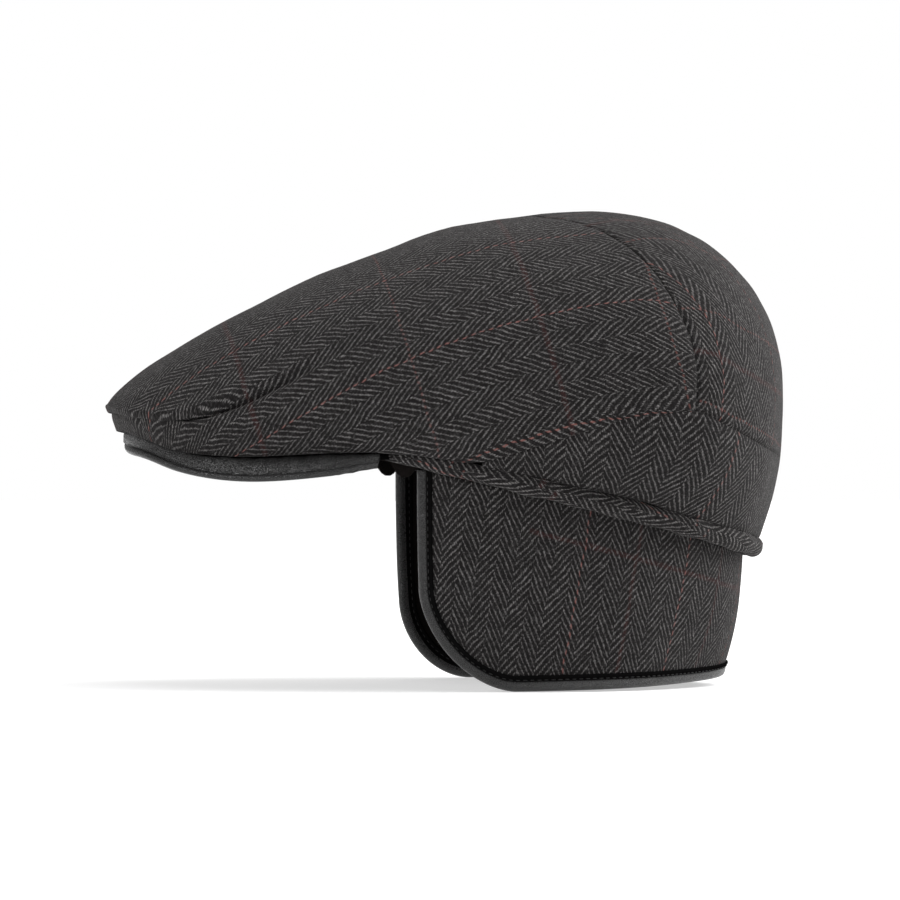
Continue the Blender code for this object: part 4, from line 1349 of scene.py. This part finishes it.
@dataclass
class Peak:
    """Leather peak with its rolled edge."""

    form: CapForm
    board_leather: bpy.types.Material
    leather: bpy.types.Material
    stitcher: Stitcher
    wall: float = 0.0026
    drop: float = 0.0080
    piping_diameter: float = 0.0030
    tuck_end: float = 1.6
    tuck_turn: float = math.radians(100)
    tuck_back: float = 0.0018
    seat_width: float = 0.0032
    seat_margin: float = 0.0008
    end: float = 4.55
    columns: int = 120
    hidden_rows: int = 13
    shown_rows: int = 12

    def rails(self, ribs: np.ndarray) -> tuple[np.ndarray, np.ndarray, np.ndarray, np.ndarray]:
        """Find the lines along the top of the peak.

        Args:
            ribs: Rib numbers of the points.

        Returns:
            The lines at its edge, under the hem, behind the hem, and at the head opening.
        """
        form = self.form
        hem = form.crown_point(form.polar(ribs, np.ones(len(ribs))))
        table = np.asarray(PEAK_EDGE)
        out, down = self.drop * curve_through(table[:, 1:], ribs).T
        direction = unit(hem[:, :2])
        edge = hem.copy()
        edge[:, :2] += direction * out[:, None]
        edge[:, 2] -= down
        seat = hem - (0, 0, form.gap * 1.6)
        seat[:, :2] += direction * np.minimum(0, out - self.seat_margin)[:, None]
        behind = seat.copy()
        behind[:, :2] -= direction * self.seat_width
        root = hem.copy()
        root[:, 0], root[:, 1] = form.rim_toward(hem[:, 0], hem[:, 1], -form.roll_radius)
        root[:, 2] = form.rim_height(root[:, 1]) + self.wall / 2
        return edge, seat, behind, root

    def build_board(self) -> None:
        """Curved board covered in leather, from the head opening out to its edge."""
        right = np.linspace(self.end, 0, self.columns)
        edge, seat, behind, root = self.rails(right)
        reach = np.linalg.norm(behind - root, axis=-1)
        rows = []
        for share in np.linspace(0, 1, self.hidden_rows + 1)[:-1]:
            row = root + (behind - root) * share
            row[:, 2] += 0.10 * share * (1 - share) * reach
            rows.append(row)
        rows += [behind + (seat - behind) * share for share in (0, 0.5)]
        for share in np.linspace(0, 1, self.shown_rows):
            row = seat + (edge - seat) * share
            row[:, 2] += 0.0007 * math.sin(math.pi * share)
            rows.append(row)
        top = np.stack(rows)
        top += self.grain_folds(top)
        left = top * (-1, 1, 1)
        upper = mirrored(left, (-1, 1, 1))
        lower = upper - (0, 0, self.wall)
        along = run_length(np.moveaxis(upper, 1, 0)).T
        # The UV map's second value runs from 0 just under the hem to 1 at the edge; the peak's leather reads
        # it to paint shade under the hem and a highlight toward the edge.
        first = len(upper) - 1 - self.shown_rows
        shown = np.clip((np.arange(len(upper)) - first) / self.shown_rows, 0, 1)
        flat = np.stack([along, np.broadcast_to(shown[:, None], along.shape)], -1)
        piece = add_shell("peak_leather", upper, lower, flat)
        dress(piece, self.board_leather, "leather", "peak")

    @staticmethod
    def grain_folds(points: np.ndarray) -> np.ndarray:
        """Small lift of the leather's soft creases."""
        lift = np.zeros(points.shape)
        lift[..., 2] = 0.00010 * ripples(points, 0.012, 17)
        lift[..., 2] += 0.00012 * ripples(points * (1, 1.6, 1), 0.0065, 21)
        return lift

    def build_piping(self) -> None:
        """Rolled leather edge, and the stitches beside it."""
        right = np.linspace(0, self.end, self.columns * 2)
        ribs = np.concatenate([-right[:0:-1], right])
        edge = self.rails(np.abs(ribs))[0]
        edge[:, 0] *= np.where(ribs < 0, -1.0, 1.0)
        outward = unit(np.cross(unit(np.gradient(edge, axis=0)), (0.0, 0.0, 1.0)))
        radius = self.piping_diameter / 2
        tuck = smooth_step(1 - np.abs(ribs) / self.tuck_end)
        turn = tuck * self.tuck_turn
        reach = radius + self.form.gap
        path = edge + outward * (reach * np.cos(turn) - self.tuck_back * tuck)[:, None]
        path[:, 2] -= self.wall / 2 + (self.wall / 2 + reach) * np.sin(turn)
        hint = outward * np.cos(turn)[:, None] - np.array((0.0, 0.0, 1.0)) * np.sin(turn)[:, None]
        across, upward = path_frame(path, hint)
        section = ring(radius, 18)
        section[:, 0] *= np.where(section[:, 0] < 0, 1.5, 1.0)
        end = smooth_step((self.end - np.abs(ribs)) / 0.5)
        section = section * (0.35 + 0.65 * end)[:, None, None]
        path[:, 2] += 0.0010 * (1 - end)
        piece = add_bar("peak_piping_leather", path, across, upward, section)
        dress(piece, self.leather, "leather", "peak_piping")
        line = edge - outward * 0.0009 + (0, 0, 0.00025)
        self.stitcher.sew("peak_stitches", line[6:-6], Thread.PEAK, "leather", 4)

    def build(self) -> None:
        """Build the board and its edge."""
        self.build_board()
        self.build_piping()


# ---------------------------------------------------------------- ear flap


@dataclass(frozen=True)
class FlapCorner:
    """Sizes of a front corner of the flap."""

    front: float = -0.0485
    length: float = 0.0450
    height: float = 0.0432
    power: float = 1.75


@dataclass
class EarFlap:
    """Flap round the ears and the nape: wool outside, lining inside, bound in leather."""

    form: CapForm
    wool: bpy.types.Material
    lining: bpy.types.Material
    leather: bpy.types.Material
    stitcher: Stitcher
    near: FlapCorner = FlapCorner()
    far: FlapCorner = FlapCorner(front=-0.0500, length=0.036, height=0.034, power=1.9)
    bottom: float = -0.0878
    back_rise: float = 0.0041
    tuck: float = 0.0032
    seat: float = 0.0043
    lean_depth: float = 0.048
    side_lean: float = 0.0018
    back_lean: float = 0.0068
    lean_power: float = 2.2
    wall: float = 0.0018
    lining_wall: float = 0.0010
    binding_diameter: float = 0.0050
    binding_wall: float = 0.0006
    flange: float = 0.0048
    rows: int = 44

    def arc(self, corner: FlapCorner, distance: np.ndarray | None = None) -> np.ndarray | float:
        """Rim angle at a distance behind the flap's front edge, or the length to the back centre."""
        start = math.acos(-corner.front / self.form.rim_half_length)
        angles = np.linspace(start - 0.2, np.pi, 4001)
        points = self.form.rim_point(angles, np.zeros(len(angles)), 0.0)[:, :2]
        lengths = run_length(points)
        lengths -= np.interp(start, angles, lengths)
        return lengths[-1] if distance is None else np.interp(distance, lengths, angles)

    def surface(self, angle: np.ndarray, z: np.ndarray, out: np.ndarray) -> np.ndarray:
        """Point of the flap's outer face at a rim angle and a height, moved outward."""
        point, outward = self.form.rim_frame(angle)
        depth = np.clip(self.form.rim_height(point[..., 1]) - z, 0, None)
        back = np.clip((point[..., 1] / self.form.rim_half_length - 0.3) / 0.7, 0, 1)
        lean = self.side_lean + (self.back_lean - self.side_lean) * (0.5 - 0.5 * np.cos(np.pi * back))
        offset = out - self.seat - lean * (depth / self.lean_depth) ** self.lean_power
        plan = point + outward * offset[..., None]
        surface = np.concatenate([plan, np.broadcast_to(z, offset.shape)[..., None]], -1)
        wave = 0.0004 * ripples(surface, 0.05, 12) * np.clip(depth / 0.02, 0, 1)
        surface[..., :2] += outward * wave[..., None]
        return surface

    def normal(self, angle: np.ndarray, z: np.ndarray, out: np.ndarray) -> np.ndarray:
        """Outward direction of the flap's face."""
        turn = self.surface(angle + 0.01, z, out) - self.surface(angle - 0.01, z, out)
        rise = self.surface(angle, z + 0.001, out) - self.surface(angle, z - 0.001, out)
        return unit(np.cross(turn, rise))

    def free_edge(self, corner: FlapCorner, inset: float, steps: int) -> tuple[np.ndarray, np.ndarray]:
        """Distance and height along the free edge, from the corner's top to the back centre."""
        centre = self.bottom + corner.height
        turn = np.linspace(0, np.pi / 2, steps)
        power = 2 / corner.power
        distance = corner.length - (corner.length - inset) * np.cos(turn) ** power
        height = centre - (corner.height - inset) * np.sin(turn) ** power
        full = self.arc(corner)
        rest = np.linspace(corner.length, full, steps)[1:]
        distance = np.concatenate([distance, rest])
        height = np.concatenate([height, np.full(len(rest), self.bottom + inset)])
        share = np.clip((distance - corner.length) / (full - corner.length), 0, 1)
        return distance, height + self.back_rise * share**1.3

    def half_layer(self, side: Side, outside: float) -> tuple[np.ndarray, np.ndarray]:
        """Lay out one face of one half, from the front edge to the back centre.

        Args:
            side: The half.
            outside: Distance of the face behind the flap's outer face.

        Returns:
            Grids of the points and of their weave places.
        """
        corner = self.near if side is Side.NEAR else self.far
        inset = self.binding_diameter / 2 + self.binding_wall + 3 * self.form.gap
        distance, low = self.free_edge(corner, inset, 60)
        place = np.linspace(0, len(distance) - 1, 150)
        distance = np.interp(place, np.arange(len(distance)), distance)
        low = np.interp(place, np.arange(len(low)), low)
        angle = self.arc(corner, distance)
        top = self.form.rim_height(self.form.rim_frame(angle)[0][:, 1]) - self.tuck
        heights = top + (low - top) * np.linspace(0, 1, self.rows)[:, None]
        angles, depths = np.broadcast_to(angle, heights.shape), np.full(heights.shape, -outside)
        points = self.surface(angles, heights, depths)
        depth = top - heights
        full = self.arc(corner)
        across = np.broadcast_to(distance, heights.shape) - full + 0.17 * depth
        points[..., 0] *= side.value
        return points, np.stack([across * side.value, -depth], -1)

    def layer(self, name: str, outside: float, wall: float) -> bpy.types.Object:
        """Add one cloth layer, whose outer side lies behind the flap's outer face."""
        faces = []
        for depth in (outside, outside + wall):
            near, near_flat = self.half_layer(Side.NEAR, depth)
            far, far_flat = self.half_layer(Side.FAR, depth)
            middle = (near[:, -1:] + far[:, -1:]) / 2
            faces.append(np.concatenate([near[:, :-1], middle, far[:, -2::-1]], axis=1))
            flat = np.concatenate([near_flat, far_flat[:, -2::-1]], axis=1)
        return add_shell(name, faces[0], faces[1], flat)

    def binding_section(self) -> np.ndarray:
        """Section of the binding: a round edge, a stitched groove and a thin lip on each side."""
        half = self.binding_diameter / 2
        slot = (self.wall + self.form.gap + self.lining_wall) / 2 + self.form.gap
        turns = np.linspace(-np.pi / 2, np.pi / 2, 13)
        nose = [(half * math.cos(turn), half * math.sin(turn)) for turn in turns]
        side = [
            (-0.0010, half - 0.0001),
            (-0.0017, half - 0.0002),
            (-0.0022, slot + 0.0003),
            (-0.0026, slot + 0.0002),
            (-0.0031, slot + 0.0002),
            (-0.0034, slot + 0.0005),
            (-0.0039, slot + 0.0007),
            (-0.0044, slot + 0.0006),
            (-self.flange, slot + 0.0003),
            (-self.flange, slot),
            (-self.binding_wall, slot),
        ]
        return np.array(nose + side + [(across, -upward) for across, upward in side[::-1]])

    def half_path(self, side: Side) -> tuple[np.ndarray, np.ndarray]:
        """Find the path of the binding along one half.

        Args:
            side: The half.

        Returns:
            The path's points, and the flap's outward direction beside them.
        """
        corner = self.near if side is Side.NEAR else self.far
        half = self.binding_diameter / 2
        distance, height = self.free_edge(corner, half, 50)
        angle = self.arc(corner, distance)
        top = self.form.rim_height(self.form.rim_frame(angle[0])[0][1]) - self.tuck
        upper = np.linspace(top, height[0], 26)[:-1]
        angle = np.concatenate([np.full(len(upper), angle[0]), angle])
        height = np.concatenate([upper, height])
        middle = np.full(len(angle), -(self.wall + self.form.gap + self.lining_wall) / 2)
        path = self.surface(angle, height, middle)
        outward = self.normal(angle, height, middle)
        fine = np.linspace(0, len(path) - 1, 260)
        path, outward = curve_through(path, fine), unit(curve_through(outward, fine))
        return path * (side.value, 1, 1), outward * (side.value, 1, 1)

    def build_binding(self) -> None:
        """Rolled leather binding along the free edge, with its stitches."""
        near, near_out = self.half_path(Side.NEAR)
        far, far_out = self.half_path(Side.FAR)
        path = np.concatenate([near[:-1], (near[-1:] + far[-1:]) / 2, far[-2::-1]])
        outward = np.concatenate([near_out, far_out[-2::-1]])
        tangent = unit(np.gradient(path, axis=0))
        away = unit(np.cross(tangent, outward))
        upward = np.cross(away, tangent)
        section = self.binding_section()[::-1]
        piece = add_bar("flap_binding_leather", path, away, upward, section)
        dress(piece, self.leather, "leather", "flap_binding")
        slot = (self.wall + self.form.gap + self.lining_wall) / 2 + self.form.gap
        for name, face in (("outer", 1.0), ("inner", -1.0)):
            line = path - away * 0.0029 + upward * face * (slot + 0.00040)
            self.stitcher.sew(f"binding_stitches_{name}", line[4:-4], Thread.BINDING, "leather", 9)

    def build(self) -> None:
        """Build the cloth, the lining and the binding."""
        cloth = self.layer("ear_flap_cloth", 0.0, self.wall)
        dress(cloth, self.wool, "wool", "ear_flap")
        lining = self.layer("flap_lining_cloth", self.wall + self.form.gap, self.lining_wall)
        dress(lining, self.lining, "lining", "flap_lining")
        self.build_binding()


# ---------------------------------------------------------------- studio


LIGHTS = (
    # name, place, size, power
    ("back_light", (0.0, 1.3, 0.9), 1.2, 37.0),
    ("front_light", (0.9, -1.5, 0.7), 0.9, 18.0),
    ("top_light", (0.3, 0.1, 1.7), 1.2, 15.5),
)


@dataclass(frozen=True)
class Studio:
    """White floor, soft light and the camera at the photograph's angle."""

    floor_height: float = -0.0880
    floor_reach: float = 9.0
    floor_glow: float = 0.50
    distance: float = 2.5
    turn: float = math.radians(3.5)
    aim: tuple[float, float, float] = (0.0, -0.02777, 0.0150)
    lens: float = 228.0
    overhead: float = 0.70
    level: float = 0.19
    shade: float = 0.40

    def build_floor(self) -> None:
        """Pale floor under the cap."""
        reach, height = self.floor_reach, self.floor_height
        corners = [(x * reach, y * reach, height) for x, y in ((-1, -1), (1, -1), (1, 1), (-1, 1))]
        mesh = bpy.data.meshes.new("floor")
        mesh.from_pydata(corners, [], [(0, 1, 2, 3)])
        floor = bpy.data.objects.new("floor", mesh)
        bpy.context.scene.collection.objects.link(floor)
        made, material, shader = start_material("pale_floor")
        place = made.add("ShaderNodeTexCoord").outputs["Object"]
        tone = made.blend(made.noise(place, 3.0), (0.60, 0.60, 0.60, 1.0), (0.63, 0.63, 0.63, 1.0))
        join(made, tone, shader, "Base Color")
        shader.inputs["Roughness"].default_value = 0.9
        shader.inputs["Specular IOR Level"].default_value = 0.1
        shader.inputs["Emission Color"].default_value = (1.0, 1.0, 1.0, 1.0)
        away = made.add("ShaderNodeVectorMath", {0: place}, operation="LENGTH").outputs["Value"]
        join(made, made.span(away, 0.4, 1.1, self.floor_glow, 1.0), shader, "Emission Strength")
        mesh.materials.append(material)

    @staticmethod
    def add_light(name: str, place: tuple[float, float, float], size: float, power: float) -> None:
        """Add a soft square light that faces the cap."""
        lamp = bpy.data.lights.new(name, "AREA")
        lamp.shape = "SQUARE"
        lamp.size = size
        lamp.energy = power
        light = bpy.data.objects.new(name, lamp)
        light.location = place
        light.rotation_euler = (Vector((0.0, 0.0, 0.02)) - Vector(place)).to_track_quat("-Z", "Y").to_euler()
        bpy.context.scene.collection.objects.link(light)

    def build_camera(self) -> None:
        """Camera at the photograph's angle and distance."""
        away = Vector((math.cos(self.turn), -math.sin(self.turn), 0.0))
        data = bpy.data.cameras.new("camera")
        data.lens = self.lens
        data.sensor_width = 36.0
        data.clip_end = 50.0
        camera = bpy.data.objects.new("camera", data)
        camera.location = Vector(self.aim) + away * self.distance
        camera.rotation_euler = (-away).to_track_quat("-Z", "Y").to_euler()
        bpy.context.scene.collection.objects.link(camera)
        bpy.context.scene.camera = camera

    def build_world(self) -> None:
        """White backdrop to the eye, and a softer sky that lights the cap, brighter overhead."""
        world = bpy.data.worlds.new("white_room")
        world.use_nodes = True
        made = Nodes(world.node_tree)
        world.node_tree.nodes.clear()
        heading = made.add("ShaderNodeTexCoord").outputs["Generated"]
        axes = made.add("ShaderNodeSeparateXYZ", {0: heading}).outputs
        glow = made.span(axes[2], -0.1, 0.9, self.level, self.overhead)
        glow = made.math("MULTIPLY", glow, made.span(axes[0], -0.3, 0.8, 1.0, self.shade))
        seen = made.add("ShaderNodeLightPath").outputs["Is Camera Ray"]
        strength = made.math("MAXIMUM", glow, seen)
        sky = made.add("ShaderNodeBackground", {"Color": (1.0, 1.0, 1.0, 1.0), "Strength": strength})
        made.add("ShaderNodeOutputWorld", {"Surface": sky.outputs[0]})
        bpy.context.scene.world = world

    def build(self) -> None:
        """Build the camera, the light and the floor."""
        bpy.context.scene.view_settings.view_transform = "Standard"
        self.build_camera()
        self.build_floor()
        self.build_world()
        for name, place, size, power in LIGHTS:
            self.add_light(name, place, size, power)


def main() -> None:
    """Build the cap and the studio in order."""
    logging.basicConfig(level=logging.INFO, format="%(name)s: %(message)s")
    form = CapForm()
    weave, grain = herringbone_group(), leather_group()
    lining = LiningFinish().build()
    leather = LeatherFinish("black_leather").build(grain)
    # The peak's leather paints shade under the hem and a highlight toward its edge; the binding's leather
    # paints shade on its lip and groove.
    board = LeatherFinish("peak_leather", wear_and_highlight=PEAK_HIGHLIGHT_AND_WEAR, depth=0.0004, fade=PEAK_SHADE_RANGE).build(grain)
    binding = LeatherFinish("binding_leather", wear_and_highlight=BINDING_WORN, fade=BINDING_SHADE_RANGE).build(grain)
    stitcher = Stitcher(ThreadFinish().build())
    panel_wool = WoolFinish("crown_wool", Check(begin=0.060)).build(weave)
    back_wool = WoolFinish("back_wool", BACK_CHECK).build(weave)
    band_wool = WoolFinish("band_wool", BAND_CHECK).build(weave)
    light_yarn = (0.255, 0.245, 0.240, 1.0)
    bias_wool = WoolFinish("bias_wool", Check(), yarn=light_yarn, turn=math.radians(76)).build(weave)
    flap_wool = WoolFinish("flap_wool", FLAP_CHECK).build(weave)
    Studio().build()
    Crown(form, panel_wool, back_wool, band_wool).build()
    Rim(form, bias_wool, lining).build()
    Peak(form, board, leather, stitcher).build()
    EarFlap(form, flap_wool, lining, binding, stitcher).build()


if __name__ == "__main__":
    main()
